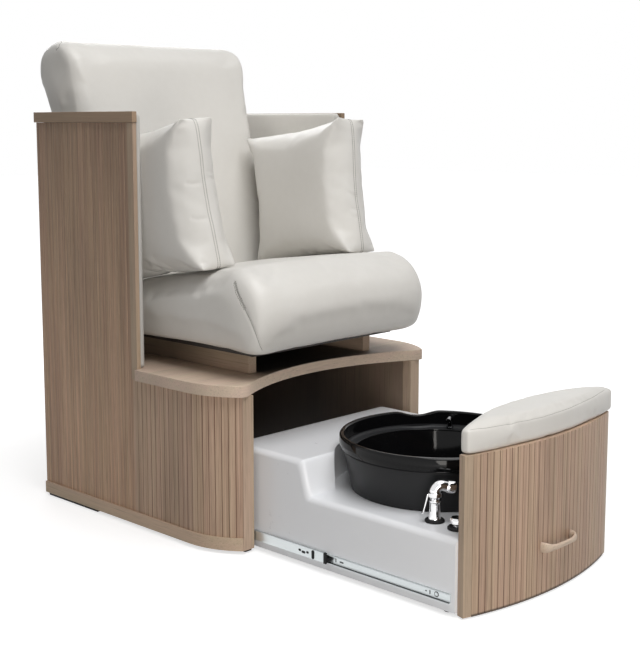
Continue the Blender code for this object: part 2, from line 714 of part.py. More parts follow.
def pillow_mesh():
    """Square boxed pillow about its middle: two crowned faces and a band that swells along its seam."""
    count = 14
    steps = [math.sin(math.pi / 2 * (2 * i / count - 1)) for i in range(count + 1)]
    half = PILLOW_SIDE / 2
    bm = bmesh.new()

    def skin_point(i, j, face):
        """A point of one crowned face, or of the seam where face is 0."""
        a, b = steps[i], steps[j]
        draw = PILLOW_DRAW if face else PILLOW_DRAW - PILLOW_BAND_SWELL
        crown = max(0.0, (1 - a ** 4) * (1 - b ** 4)) ** 0.5
        thick = PILLOW_BAND + (PILLOW_THICKNESS - PILLOW_BAND) * crown
        y = a * (half - draw * (1 - b * b))
        z = b * (half - draw * (1 - a * a))
        return bm.verts.new((face * thick / 2, y, z))

    border = [(i, 0) for i in range(count)] + [(count, j) for j in range(count)]
    border += [(count - i, count) for i in range(count)] + [(0, count - j) for j in range(count)]
    seam = [skin_point(i, j, 0) for i, j in border]
    for face in (-1, 1):
        grid = {(i, j): skin_point(i, j, face) for i in range(count + 1) for j in range(count + 1)}
        for i in range(count):
            for j in range(count):
                bm.faces.new((grid[i, j], grid[i + 1, j], grid[i + 1, j + 1], grid[i, j + 1]))
        edge = [grid[place] for place in border]
        for k in range(len(border)):
            bm.faces.new((edge[k - 1], edge[k], seam[k], seam[k - 1]))
    return bm


def arm_pillows(chair, finish):
    """Loose pillows that are lowered onto the seat and lean on the liners."""
    depth = SEAT_FRONT - PILLOW_SETBACK
    for name, side in (("left", -1), ("right", 1)):
        turn = (-PILLOW_LEAN, side * PILLOW_TILT, 0)
        pillow = pillow_mesh()
        skin = [Euler(turn).to_matrix() @ vert.co for vert in pillow.verts]
        out = LINER_INNER_X - FIT - max(side * point.x for point in skin)
        feet = [point for point in skin if point.z < -PILLOW_SIDE / 3]
        level = max(seat_level(side * out + foot.x, depth - foot.y) - foot.z for foot in feet) + FIT
        piece(f"arm_pillow_{name}", pillow, finish, chair, (side * out, -depth, level), turn, 60)


def tub_section(x, wall, inset, drop):
    """Side outline of the tub at one x, drawn in by an inset, as (x, y, z) points."""
    top = BLOCK_TOP - inset
    deck = DECK_HEIGHT - inset
    back = FRONT_END - TUB_LENGTH + inset
    ease_start = FRONT_END - BLOCK_SETBACK - inset
    front = front_y(-FRONT_THICKNESS - FIT - wall, x)
    shoulder = (-back - TUB_REAR_ROUNDING, top - TUB_REAR_ROUNDING)
    points = [(-back, drop)] + arc(shoulder, TUB_REAR_ROUNDING, 0, math.pi / 2, 4)
    for i in range(9):
        fall = (1 - math.cos(math.pi * i / 8)) / 2
        points.append((-ease_start - BLOCK_EASE * i / 8, top + (deck - top) * fall))
    points += [(front, deck), (front, drop)]
    return [Vector((x, y, z)) for y, z in points]


def tub_loft(wall, drop):
    """Skin of the tub, drawn in all round by a wall."""
    half = DRAWER_HALF_WIDTH - wall
    rounding = TUB_ROUNDING - wall
    right = runs(0, half - rounding, BOW_STEP)[:-1] + edge_stations(half, rounding, 4)
    stations = [-x for x in reversed(right[1:])] + right
    return loft([tub_section(x, wall, wall + round_inset(x, half, rounding), drop) for x in stations])


def drawer_tub(drawer, finish):
    """White moulded shell, open below: a rear block coved round the basin, and a low deck."""
    tub = piece("drawer_tub", tub_loft(0, GLIDE_HEIGHT), finish, drawer)
    hollow = cutter("tub_hollow", tub_loft(TUB_WALL, -GLIDE_HEIGHT), drawer)
    centre = Matrix.Translation((0, -BASIN_DEPTH, 0))

    def drum(name, radius, low, high):
        bm = turned([(radius, low), (radius, high)], CIRCLE)
        bmesh.ops.transform(bm, matrix=centre, verts=bm.verts)
        return cutter(name, bm, drawer)

    cove = BASIN_RADIUS + COVE_GAP
    boolean(hollow, drum("cove_wall", cove + TUB_WALL, DECK_HEIGHT - TUB_WALL, BASIN_TOP))
    boolean(tub, drum("cove", cove, DECK_HEIGHT, BASIN_TOP))
    boolean(tub, hollow)
    boolean(tub, drum("basin_hole", BASIN_SEAT_RADIUS + FIT, 0, BASIN_TOP))


def drawer_front(drawer, finishes):
    """Bowed reeded front with a plain post at each end."""
    length = 2 * FRONT_HALF_ANGLE * FRONT_RADIUS
    low, high = FRONT_FLOOR_GAP, FRONT_TOP
    start, end = FRONT_POST_WIDTH + FIT, length - FRONT_POST_WIDTH - FIT
    stops = runs(start, end, SLAT_WIDTH)
    face = reeded_outline(front_place, start, end)[:-len(stops)]
    outline = face + [front_place(-FRONT_THICKNESS, run) for run in reversed(stops)]
    piece("drawer_front", prism(outline, low, high), finishes["reeded wood"], drawer)
    for name, run in (("left", 0), ("right", length - FRONT_POST_WIDTH)):
        post = strip_outline(front_place, run, run + FRONT_POST_WIDTH, -FRONT_THICKNESS, 0,
                             FRONT_POST_WIDTH)
        rounded(piece(f"drawer_post_{name}", prism(post, low, high), finishes["tan wood"], drawer))


def pad_rear_y(inset, x):
    """Where the bowed rear of the footrest, drawn in by an inset, stands at a given x."""
    radius = (PAD_HALF_LENGTH ** 2 + PAD_REAR_BOW ** 2) / (2 * PAD_REAR_BOW)
    return PAD_REAR_SETBACK - FRONT_END - radius + math.sqrt((radius - inset) ** 2 - x * x)


def pad_ring(level, inset):
    """Outline of the footrest pad at one level: bowed front, bowed rear and short blunt ends."""
    half = PAD_HALF_LENGTH - inset
    steps = 18
    spread = [-half * math.cos(math.pi * i / steps) for i in range(steps + 1)]
    front = []
    rear = []
    for x in spread:
        near, far = pad_rear_y(0, x), front_y(PAD_OVERHANG, x)
        drawn = min(inset, (near - far) * 0.42)
        front.append(Vector((x + PAD_OFF_CENTRE, far + drawn, level)))
        rear.append(Vector((x + PAD_OFF_CENTRE, near - drawn, level)))
    return front + rear[::-1]


def footrest(drawer, finishes):
    """Board on the back of the drawer front, level with its top, and the pad on both."""
    spread = runs(-FOOTREST_BOARD_HALF, FOOTREST_BOARD_HALF, BOW_STEP)
    outline = [(x, front_y(-FRONT_THICKNESS - FIT, x)) for x in spread]
    outline += [(x, pad_rear_y(FOOTREST_BOARD_INSET, x)) for x in reversed(spread)]
    board = prism(outline, FRONT_TOP - FOOTREST_BOARD, FRONT_TOP)
    piece("footrest_board", board, finishes["inner wood"], drawer)

    low = FRONT_TOP + FIT
    high = low + PAD_HEIGHT
    rings = [pad_ring(low, PAD_EDGE / 2), pad_ring(low + PAD_EDGE / 2, 0)]
    for i in range(5):
        a = math.pi / 2 * i / 4
        rings.append(pad_ring(high - PAD_EDGE + PAD_EDGE * math.sin(a), PAD_EDGE * (1 - math.cos(a))))
    rings.append(pad_ring(high + PAD_CROWN * 0.7, 2.5 * PAD_EDGE))
    rings.append(pad_ring(high + PAD_CROWN, 4 * PAD_EDGE))
    piece("footrest_pad", loft(rings), finishes["cream vinyl"], drawer, sharp=60)


def drawer_pull(drawer, finish):
    """Bow handle: flared feet on the front and a slim bar between them."""
    squareness = 0.62
    out = PULL_PROJECTION - PULL_BAR / 2
    stops = 16
    rings = []
    foot_y = front_y(PULL_GAP, PULL_LENGTH / 2)

    def centre(angle):
        along = -math.copysign(abs(math.cos(angle)) ** squareness, math.cos(angle))
        return Vector((along * (PULL_LENGTH - PULL_BAR) / 2,
                       foot_y - out * max(math.sin(angle), 0.0) ** squareness, PULL_HEIGHT))

    for i in range(stops + 1):
        angle = math.pi * i / stops
        here = centre(angle)
        ahead = centre(min(angle + 0.02, math.pi)) - centre(max(angle - 0.02, 0.0))
        if i in (0, stops):
            ahead = Vector((0, -1 if i == 0 else 1, 0))
        across = ahead.normalized().cross(Vector((0, 0, 1)))
        flare = abs(math.cos(angle)) ** 3
        half = PULL_WAIST / 2 + (PULL_FOOT - PULL_WAIST) / 2 * flare
        ring = []
        for k in range(12):
            turn = 2 * math.pi * k / 12
            rise = Vector((0, 0, half * math.sin(turn)))
            ring.append(here + across * (PULL_BAR / 2 * math.cos(turn)) + rise)
        rings.append(ring)
    piece("drawer_pull", loft(rings), finish, drawer, sharp=50)


def basin_profile():
    """Section of the basin as (radius, height): up the outside, over the rim, down the inside."""
    below = DECK_HEIGHT - BASIN_BELOW
    band_low = BASIN_TOP - BASIN_BAND
    band_in = BASIN_RADIUS - BASIN_BAND_STEP
    crest = 0.004
    groove = 0.002
    return [
        (BASIN_SEAT_RADIUS * 0.66, below),
        (BASIN_SEAT_RADIUS * 0.88, below + BASIN_WALL),
        (BASIN_SEAT_RADIUS - BASIN_WALL * 0.5, below + BASIN_BELOW * 0.62),
        (BASIN_SEAT_RADIUS, DECK_HEIGHT),
        (band_in, band_low - crest),
        (band_in - groove, band_low - groove),
        (band_in - groove, band_low),
        (BASIN_RADIUS - groove, band_low + groove * 0.5),
        (BASIN_RADIUS, band_low + BASIN_BAND * 0.4),
        (BASIN_RADIUS - groove * 0.5, BASIN_TOP - crest),
        (BASIN_RADIUS - crest, BASIN_TOP),
        (BASIN_RADIUS - BASIN_WALL + crest * 0.5, BASIN_TOP),
        (BASIN_RADIUS - BASIN_WALL, BASIN_TOP - crest),
        (BASIN_LEDGE_RADIUS + BASIN_LEDGE * 0.94, BASIN_LEDGE_TOP + crest * 1.5),
        (BASIN_LEDGE_RADIUS + BASIN_LEDGE * 0.88, BASIN_LEDGE_TOP),
        (BASIN_LEDGE_RADIUS + crest * 0.5, BASIN_LEDGE_TOP),
        (BASIN_LEDGE_RADIUS, BASIN_LEDGE_TOP - crest),
        (BASIN_SEAT_RADIUS * 0.86, DECK_HEIGHT),
        (BASIN_SEAT_RADIUS * 0.78, BASIN_FLOOR + BASIN_BELOW * 0.3),
        (BASIN_SEAT_RADIUS * 0.62, BASIN_FLOOR + BASIN_BELOW * 0.06),
        (BASIN_SEAT_RADIUS * 0.30, BASIN_FLOOR),
    ]


def basin(drawer, finishes):
    """Round basin that hangs in the deck, its rim dipped at one place, with a drain and a fill spout."""
    rings = []
    for radius, level in basin_profile():
        share = min(max((level - BASIN_LEDGE_TOP) / (BASIN_TOP - BASIN_LEDGE_TOP), 0.0), 1.0)
        ring = circle(radius, level, CIRCLE)
        for point in ring:
            off = abs((math.atan2(point.y, point.x) - RIM_DIP_AT + math.pi) % (2 * math.pi) - math.pi)
            if off < RIM_DIP_HALF:
                point.z -= RIM_DIP * share * (1 + math.cos(math.pi * off / RIM_DIP_HALF)) / 2
        rings.append(ring)
    place = (0, -BASIN_DEPTH, 0)
    piece("basin", loft(rings), finishes["gloss black"], drawer, place)

    low = BASIN_FLOOR + FIT
    drain = [(DRAIN_RADIUS, low), (DRAIN_RADIUS, low + DRAIN_HEIGHT * 0.4),
             (DRAIN_RADIUS * 0.85, low + DRAIN_HEIGHT * 0.8), (DRAIN_RADIUS * 0.4, low + DRAIN_HEIGHT)]
    piece("basin_drain", turned(drain, 32), finishes["chrome"], drawer, place)

    foot = BASIN_LEDGE_TOP + FIT
    stem = BASIN_LEDGE_RADIUS + BASIN_LEDGE * 0.46
    bend = SPOUT_RADIUS * 1.2
    top = foot + SPOUT_RISE - SPOUT_RADIUS
    path = [Vector((0, 0, foot)), Vector((0, 0, foot + SPOUT_FLANGE_HEIGHT)),
            Vector((0, 0, foot + SPOUT_FLANGE_HEIGHT + FIT)),
            Vector((0, 0, top - bend))]
    path += [Vector((-bend + bend * math.cos(a), 0, top - bend + bend * math.sin(a)))
             for a in [math.pi / 2 * i / 4 for i in range(1, 5)]]
    path.append(Vector((-SPOUT_REACH, 0, top)))
    radii = [SPOUT_FLANGE, SPOUT_FLANGE] + [SPOUT_RADIUS] * 6 + [SPOUT_RADIUS * 0.85]
    spout = bent_tube(path, radii, SMALL_CIRCLE)
    turn = Matrix.Translation((0, -BASIN_DEPTH, 0)) @ Matrix.Rotation(SPOUT_AT, 4, "Z")
    bmesh.ops.transform(spout, matrix=turn @ Matrix.Translation((stem, 0, 0)), verts=spout.verts)
    piece("fill_spout", spout, finishes["dark chrome"], drawer)


def bent_tube(path, radii, count):
    """Round tube of changing radius along a path in the XZ plane."""
    rings = []
    for i, here in enumerate(path):
        before = path[max(i - 1, 0)]
        after = path[min(i + 1, len(path) - 1)]
        ahead = (after - before).normalized()
        sideways = Vector((0, 1, 0))
        up = ahead.cross(sideways)
        rings.append([here + (sideways * math.cos(2 * math.pi * k / count)
                              + up * math.sin(2 * math.pi * k / count)) * radii[i] for k in range(count)])
    return loft(rings)


def socket_ring(name, x, depth, drawer, finish):
    """Rubber ring on the deck that a fitting stands in."""
    low, high = DECK_HEIGHT + FIT, DECK_HEIGHT + FIT + SOCKET_HEIGHT
    soft = SOCKET_HEIGHT * 0.4
    profile = [(SOCKET_BORE, low), (SOCKET_RADIUS, low), (SOCKET_RADIUS, high - soft),
               (SOCKET_RADIUS - soft, high), (SOCKET_BORE, high)]
    piece(name, turned(profile, 32, closed=True), finish, drawer, (x, -depth, 0))
    return high


def hand_sprayer(drawer, finishes):
    """Lift-out sprayer standing in its ring, with a trigger lever hung behind its head."""
    depth = FRONT_END - SPRAYER_SETBACK
    seat = socket_ring("sprayer_socket", SPRAYER_X, depth, drawer, finishes["black"])
    place = (SPRAYER_X, -depth, seat + FIT)
    holder = empty("sprayer_lift", drawer, place, (0, 0, SPRAYER_HEADING))
    r = SPRAYER_RADIUS
    bend = r * 1.1
    top = SPRAYER_RISE - r
    hang = top - bend - 0.006
    collar = r * 1.12
    spigot = SOCKET_BORE - SLIDE_PLAY
    waist = r * 0.86
    grip = top / 2
    body = [(spigot, -SPRAYER_SPIGOT), (spigot, -FIT / 2), (collar, 0.0), (r, 0.006), (r * 0.97, grip),
            (collar, grip + 0.0015), (collar, grip + 0.005), (waist, grip + 0.0065),
            (waist, hang - 0.004), (collar, hang - 0.003), (collar, hang + 0.003),
            (waist, hang + 0.004)]
    path = [Vector((0, 0, level)) for radius, level in body] + [Vector((0, 0, top - bend))]
    radii = [radius for radius, level in body] + [r * 0.84]
    for i in range(1, 6):
        a = math.pi / 2 * i / 5
        path.append(Vector((bend - bend * math.cos(a), 0, top - bend + bend * math.sin(a))))
        radii.append(r * 0.84)
    head = [(0.62, 0.84), (0.66, 0.98), (0.96, 1.0), (1.0, 0.9)]
    for share, swell in head:
        path.append(Vector((SPRAYER_REACH * share, 0, top - SPRAYER_REACH * share * 0.12)))
        radii.append(r * swell)
    piece("sprayer", bent_tube(path, radii, SMALL_CIRCLE), finishes["chrome"], holder)

    half = LEVER_WIDTH / 2
    t = LEVER_THICKNESS / 2
    pivot = empty("lever_pivot", holder, (-collar - t - 2 * FIT, 0, hang), (0, LEVER_SPLAY, 0))
    blade = [(t, t * 0.6), (t * 0.4, t * 1.2), (-t * 0.4, t * 1.2), (-t, t * 0.6),
             (-t * 1.3, -LEVER_LENGTH * 0.85), (-t * 1.9, -LEVER_LENGTH), (-t * 0.6, -LEVER_LENGTH),
             (0.2 * t, -LEVER_LENGTH * 0.85)]
    lever = piece("sprayer_lever", prism(blade, -half, half, "XZ"), finishes["chrome"], pivot)
    rounded(lever, 0.0006, 2, 40)


def valve(drawer, finishes):
    """Turning control beside the sprayer, on its own ring."""
    depth = FRONT_END - VALVE_SETBACK
    seat = socket_ring("valve_ring", VALVE_X, depth, drawer, finishes["black"])
    k = VALVE_KNOB_HEIGHT
    r = VALVE_KNOB_RADIUS
    spigot = SOCKET_BORE - SLIDE_PLAY
    profile = [(spigot, -SPRAYER_SPIGOT), (spigot, 0.0), (VALVE_STEM_RADIUS, 0.0005),
               (VALVE_STEM_RADIUS, k * 0.3), (r, k * 0.36), (r, k * 0.82), (r * 0.86, k),
               (r * 0.3, k * 1.03)]
    rings = [circle(radius, level, 32) for radius, level in profile]
    for ring in rings[4:7]:
        for i, point in enumerate(ring):
            grip = 1 - 0.07 * (1 - math.cos(8 * 2 * math.pi * i / 32)) / 2
            point.x *= grip
            point.y *= grip
    piece("valve_knob", loft(rings), finishes["chrome"], drawer, (VALVE_X, -depth, seat + FIT))


def slides(name, side, chair, drawer, middle, finishes):
    """Three nested channels on one side, and the end stop of the middle one."""
    zinc = finishes["zinc"]

    def member(label, section, front, length, parent, finish=zinc):
        outline = [(side * (DRAWER_HALF_WIDTH + out), SLIDE_HEIGHT + up) for out, up in section]
        return piece(f"{label}_{name}", prism(outline, -front, length - front, "XZ"), finish, parent)

    middle_half = DRAWER_MEMBER_HALF + SLIDE_PLAY + SLIDE_SHEET
    cabinet_half = middle_half + SLIDE_PLAY + SLIDE_SHEET
    cabinet_web = SLIDE_SPACE - FIT
    drawer_section = channel(FIT, DRAWER_MEMBER_REACH, DRAWER_MEMBER_HALF, SLIDE_SHEET)
    member("slide_inner", drawer_section, FRONT_END - DRAWER_MEMBER_SETBACK, DRAWER_MEMBER_LENGTH, drawer)
    web_out = MIDDLE_WEB + SLIDE_SHEET
    middle_section = channel(web_out, web_out - MIDDLE_REACH, middle_half, SLIDE_SHEET)
    member("slide_middle", middle_section, MIDDLE_FRONT, MIDDLE_LENGTH, middle)
    cabinet_section = channel(cabinet_web, cabinet_web - CABINET_MEMBER_REACH, cabinet_half, SLIDE_SHEET)
    member("slide_outer", cabinet_section, CABINET_MEMBER_FRONT, CABINET_MEMBER_LENGTH, chair)

    lip = web_out + BUMPER_LIP
    sheet = SLIDE_SHEET + BUMPER_LIP
    stop_section = channel(lip, web_out - MIDDLE_REACH, middle_half + BUMPER_LIP, sheet)
    stop_front = MIDDLE_FRONT + FIT + BUMPER_LENGTH
    stop = member("slide_stop", stop_section, stop_front, BUMPER_LENGTH, middle, finishes["black"])
    nose_x = sorted((side * (DRAWER_HALF_WIDTH + lip), side * (DRAWER_HALF_WIDTH + lip - sheet)))
    nose = block(nose_x, (-stop_front - BUMPER_NOSE, -stop_front + BUMPER_LENGTH / 2),
                 (SLIDE_HEIGHT - BUMPER_NOSE_HALF, SLIDE_HEIGHT + BUMPER_NOSE_HALF))
    boolean(stop, cutter(f"stop_nose_{name}", nose, middle), "UNION")


def rollers(name, side, drawer, finishes):
    """Flanged stub axle on the tub's side wall, and the roller that turns on it."""
    wall = DRAWER_HALF_WIDTH - TUB_WALL - FIT
    depth = -front_y(-FRONT_THICKNESS, wall) - ROLLER_SETBACK
    place = (side * wall, -depth, ROLLER_RADIUS)
    turn = (0, -side * math.pi / 2, 0)
    wheel_low = AXLE_FLANGE_THICKNESS + 2 * FIT
    wheel_high = wheel_low + ROLLER_WIDTH
    axle = [(AXLE_FLANGE, 0.0), (AXLE_FLANGE, AXLE_FLANGE_THICKNESS), (AXLE_RADIUS, AXLE_FLANGE_THICKNESS),
            (AXLE_RADIUS, wheel_high + FIT), (AXLE_HEAD, wheel_high + FIT),
            (AXLE_HEAD, wheel_high + FIT + AXLE_HEAD_THICKNESS)]
    piece(f"roller_axle_{name}", turned(axle, SMALL_CIRCLE), finishes["zinc"], drawer, place, turn)
    tread = ROLLER_RADIUS * 0.12
    bore = AXLE_RADIUS + FIT
    tyre = [(bore, wheel_low), (ROLLER_RADIUS - tread, wheel_low), (ROLLER_RADIUS, wheel_low + tread),
            (ROLLER_RADIUS, wheel_high - tread), (ROLLER_RADIUS - tread, wheel_high), (bore, wheel_high)]
    piece(f"roller_{name}", turned(tyre, 40, closed=True), finishes["black"], drawer, place, turn)


def centre_over_origin(chair):
    """Stand the whole object over the origin: middle of its plan box."""
    bpy.context.view_layer.update()
    graph = bpy.context.evaluated_depsgraph_get()
    reach = []
    for item in bpy.data.objects:
        if item.type == "MESH" and not item.hide_render:
            mesh = item.evaluated_get(graph).to_mesh()
            reach += [(item.matrix_world @ v.co).y for v in mesh.vertices]
    chair.location.y = -(min(reach) + max(reach)) / 2
    bpy.context.view_layer.update()
    print("rear edge of the side panels at y", round(chair.location.y, 6))


def main():
    clear_scene()
    finishes = {
        "reeded wood": material("reeded wood", (0.30, 0.22, 0.155), 0.55),
        "tan wood": material("tan wood", (0.40, 0.31, 0.21), 0.5),
        "inner wood": material("inner wood", (0.16, 0.12, 0.085), 0.7),
        "cream vinyl": material("cream vinyl", (0.68, 0.66, 0.61), 0.45),
        "white shell": material("white shell", (0.62, 0.63, 0.64), 0.3),
        "gloss black": material("gloss black", (0.008, 0.008, 0.009), 0.08),
        "black": material("black", (0.012, 0.012, 0.013), 0.5),
        "chrome": material("chrome", (0.80, 0.80, 0.81), 0.07, 1.0),
        "dark chrome": material("dark chrome", (0.20, 0.20, 0.21), 0.12, 1.0),
        "zinc": material("zinc", (0.62, 0.65, 0.67), 0.32, 1.0),
    }
    chair = empty("chair")
    drawer = empty("drawer_run", chair)
    cabinet_shell(chair, finishes)
    back = seat_support(chair, finishes)
    seat_cushion(chair, finishes["cream vinyl"])
    back_cushion(back, finishes["cream vinyl"])
    arm_pillows(chair, finishes["cream vinyl"])
    drawer_tub(drawer, finishes["white shell"])
    drawer_front(drawer, finishes)
    footrest(drawer, finishes)
    drawer_pull(drawer, finishes["tan wood"])
    basin(drawer, finishes)
    hand_sprayer(drawer, finishes)
    valve(drawer, finishes)
    for name, side in (("left", -1), ("right", 1)):
        cabinet_side(name, side, chair, finishes)
        slides(name, side, chair, drawer, empty(f"middle_run_{name}", chair), finishes)
        rollers(name, side, drawer, finishes)
    centre_over_origin(chair)


main()
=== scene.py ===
# %% [markdown]
# # Dressing a pedicure chair
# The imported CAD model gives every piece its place, and this lesson gives every piece its look. A salon
# chair like this mixes four families of finish: laminated wood, padded vinyl, moulded plastic and bright
# metal. The frame is loaded first and never moved, so each new piece is built where its solid stands.

# %% Load the frame
import itertools
import json
import math

import bpy
import numpy as np
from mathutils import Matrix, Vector
from mathutils.bvhtree import BVHTree
from mathutils.kdtree import KDTree

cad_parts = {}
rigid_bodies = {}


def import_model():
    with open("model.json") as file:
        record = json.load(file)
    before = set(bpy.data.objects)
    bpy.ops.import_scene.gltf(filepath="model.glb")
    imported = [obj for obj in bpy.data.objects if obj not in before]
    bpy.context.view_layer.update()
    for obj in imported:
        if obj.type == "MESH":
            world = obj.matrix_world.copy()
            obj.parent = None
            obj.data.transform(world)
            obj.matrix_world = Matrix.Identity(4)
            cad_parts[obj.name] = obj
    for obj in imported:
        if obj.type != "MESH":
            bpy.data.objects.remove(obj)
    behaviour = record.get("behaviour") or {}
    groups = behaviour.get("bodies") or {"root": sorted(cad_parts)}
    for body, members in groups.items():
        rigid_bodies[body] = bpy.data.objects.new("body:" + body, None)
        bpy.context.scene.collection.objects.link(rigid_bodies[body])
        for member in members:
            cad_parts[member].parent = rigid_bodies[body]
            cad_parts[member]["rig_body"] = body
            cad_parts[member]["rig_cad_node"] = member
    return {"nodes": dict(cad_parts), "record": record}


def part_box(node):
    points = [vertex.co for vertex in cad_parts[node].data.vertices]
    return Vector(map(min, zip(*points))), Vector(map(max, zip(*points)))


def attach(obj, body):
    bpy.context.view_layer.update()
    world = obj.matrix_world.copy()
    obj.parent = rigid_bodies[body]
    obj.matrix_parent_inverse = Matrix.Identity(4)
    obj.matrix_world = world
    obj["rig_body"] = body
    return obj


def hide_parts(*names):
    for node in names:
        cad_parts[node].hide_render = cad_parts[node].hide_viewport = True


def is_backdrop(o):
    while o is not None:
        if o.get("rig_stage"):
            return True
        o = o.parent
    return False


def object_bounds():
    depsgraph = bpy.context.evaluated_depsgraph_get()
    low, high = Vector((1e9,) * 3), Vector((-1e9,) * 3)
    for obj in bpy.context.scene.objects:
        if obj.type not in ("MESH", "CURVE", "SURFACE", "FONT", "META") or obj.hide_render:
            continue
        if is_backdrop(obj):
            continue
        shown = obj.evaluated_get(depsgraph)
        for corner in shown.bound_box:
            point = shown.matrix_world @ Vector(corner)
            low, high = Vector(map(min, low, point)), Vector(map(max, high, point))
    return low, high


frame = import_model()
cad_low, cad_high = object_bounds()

MM = 0.001
SIDES = ("left", "right")
bodies = frame["record"]["behaviour"]["bodies"]
body_of_node = {node: body for body, nodes in bodies.items() for node in nodes}
print("CAD box", [round(v, 4) for v in cad_low], [round(v, 4) for v in cad_high])
print("nodes", len(body_of_node))

# %% [markdown]
# ## Working by hand, in code
# An operator acts on whatever is selected, so one object at a time is selected and made active. A copy of a
# CAD node is loose triangles: its doubles are merged first, and then it can be eased, subdivided or shaded.


# %% Helpers for selecting, copying and finishing
def alone(obj):
    """Select one object only and make it active."""
    bpy.ops.object.select_all(action="DESELECT")
    obj.select_set(True)
    bpy.context.view_layer.objects.active = obj
    return obj


def select_mesh(action="SELECT"):
    bpy.ops.mesh.select_all(action=action)


def edit(obj, select="SELECT"):
    alone(obj)
    bpy.ops.object.mode_set(mode="EDIT")
    select_mesh(select)


def leave_edit():
    bpy.ops.object.mode_set(mode="OBJECT")


def picked(obj, wanted, faces=False):
    """Enter edit mode with only the wanted vertices or faces selected, and count them."""
    edit(obj, "DESELECT")
    bpy.ops.mesh.select_mode(type="FACE" if faces else "VERT")
    leave_edit()
    count = 0
    for item in obj.data.polygons if faces else obj.data.vertices:
        item.select = wanted(item)
        count += item.select
    bpy.ops.object.mode_set(mode="EDIT")
    return count


def pulled(obj, wanted, move, reach):
    """Move the wanted vertices, and less and less what is within reach of them."""
    picked(obj, wanted)
    bpy.ops.transform.translate(value=move, use_proportional_edit=True, proportional_size=reach,
                                proportional_edit_falloff="SMOOTH")
    leave_edit()


def named(name):
    """Name the active object and its mesh."""
    obj = bpy.context.view_layer.objects.active
    obj.name = name
    obj.data.name = name
    return obj


def apply_place():
    bpy.ops.object.transform_apply(location=True, rotation=True, scale=True)


def primitive(name, add_shape, **settings):
    """A new plane, circle or cylinder whose place and turn are applied."""
    bpy.ops.object.select_all(action="DESELECT")
    add_shape(**settings)
    obj = named(name)
    apply_place()
    return obj


def twin(obj, name):
    alone(obj)
    bpy.ops.object.duplicate()
    return named(name)


def clean_copy(node, name):
    """A merged copy of a CAD node that rides on nothing yet."""
    obj = twin(frame["nodes"][node], name)
    bpy.ops.object.parent_clear(type="CLEAR_KEEP_TRANSFORM")
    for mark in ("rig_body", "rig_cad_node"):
        del obj[mark]
    obj.data.materials.clear()
    bpy.ops.mesh.customdata_custom_splitnormals_clear()
    edit(obj)
    bpy.ops.mesh.remove_doubles(threshold=0.01 * MM)
    leave_edit()
    return obj


def apply_all(obj):
    alone(obj)
    for step in [m.name for m in obj.modifiers]:
        bpy.ops.object.modifier_apply(modifier=step)
    return obj


def solid_faces(node):
    """The faces of a CAD node, ready to be searched."""
    mesh = frame["nodes"][node].data
    return BVHTree.FromPolygons([v.co for v in mesh.vertices], [p.vertices for p in mesh.polygons])


def places(obj):
    """Where the vertices are, one row each."""
    found = np.zeros(len(obj.data.vertices) * 3)
    obj.data.vertices.foreach_get("co", found)
    return found.reshape(-1, 3)


def set_places(obj, found):
    obj.data.vertices.foreach_set("co", found.astype(np.float32).ravel())
    obj.data.update()


def joined_flats(obj, angle=0.4):
    """Turn coplanar triangles back into whole faces."""
    edit(obj)
    bpy.ops.mesh.dissolve_limited(angle_limit=math.radians(angle))
    leave_edit()
    return obj


def set_up(thing, **settings):
    for key, value in settings.items():
        setattr(thing, key, value)
    return thing


def eased(obj, width):
    """Round the sharp edges, as sanding or moulding does."""
    set_up(obj.modifiers.new("Eased edges", "BEVEL"), width=width, segments=2, limit_method="ANGLE",
           angle_limit=math.radians(35), harden_normals=False)
    return apply_all(obj)


def smooth(obj, angle):
    alone(obj)
    bpy.ops.object.shade_smooth_by_angle(angle=math.radians(angle))
    return obj


def crisp(obj, angle):
    """Smooth shading in which flat faces stay flat beside their rounded edges."""
    smooth(obj, angle)
    set_up(obj.modifiers.new("Flat faces first", "WEIGHTED_NORMAL"), keep_sharp=True, weight=80)
    return apply_all(obj)


def subdivided(obj, levels, angle):
    set_up(obj.modifiers.new("Rounder", "SUBSURF"), levels=levels, render_levels=levels)
    return smooth(apply_all(obj), angle)


def turned_smooth(obj, levels, crease_angle=38, quad_angle=math.radians(60)):
    """Subdivide a lathe-like piece and keep its real edges crisp."""
    edit(obj)
    bpy.ops.mesh.tris_convert_to_quads(face_threshold=quad_angle, shape_threshold=quad_angle)
    select_mesh("DESELECT")
    bpy.ops.mesh.select_mode(type="EDGE")
    bpy.ops.mesh.edges_select_sharp(sharpness=math.radians(crease_angle))
    bpy.ops.transform.edge_crease(value=0.9)
    bpy.ops.mesh.select_mode(type="VERT")
    leave_edit()
    return subdivided(obj, levels, 40)


def settle(obj, finish, node, stands_for=True):
    """Give a piece its finish and its node's body; it stands for the node or only sits on it."""
    if not obj.data.materials:
        obj.data.materials.append(finish)
    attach(obj, body_of_node[node])
    if stands_for:
        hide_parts(node)
    return obj


# %% [markdown]
# ## Finishes as node groups
# Grain, handling marks and vinyl texture turn up in several materials, so each is built once as a node
# group. A group only puts out what changes over the surface: a colour, a mask or a height. Object
# coordinates are in metres here, because every piece sits at the origin, so a scale of 100 gives a detail
# about 10 mm wide.


# %% Helpers for nodes
def feed(tree, node, inputs):
    """Set numbers and colours on a node's sockets, and link sources to them."""
    for name, value in inputs.items():
        socket = node.inputs[name]
        if isinstance(value, bpy.types.NodeSocket):
            tree.links.new(value, socket)
        elif socket.type == "RGBA":
            socket.default_value = (*value, 1.0)
        else:
            socket.default_value = value


def add(tree, kind, inputs=None, **settings):
    """Add a node with its settings and inputs, and give back its outputs."""
    made = set_up(tree.nodes.new(kind), **settings)
    feed(tree, made, inputs or {})
    return made.outputs


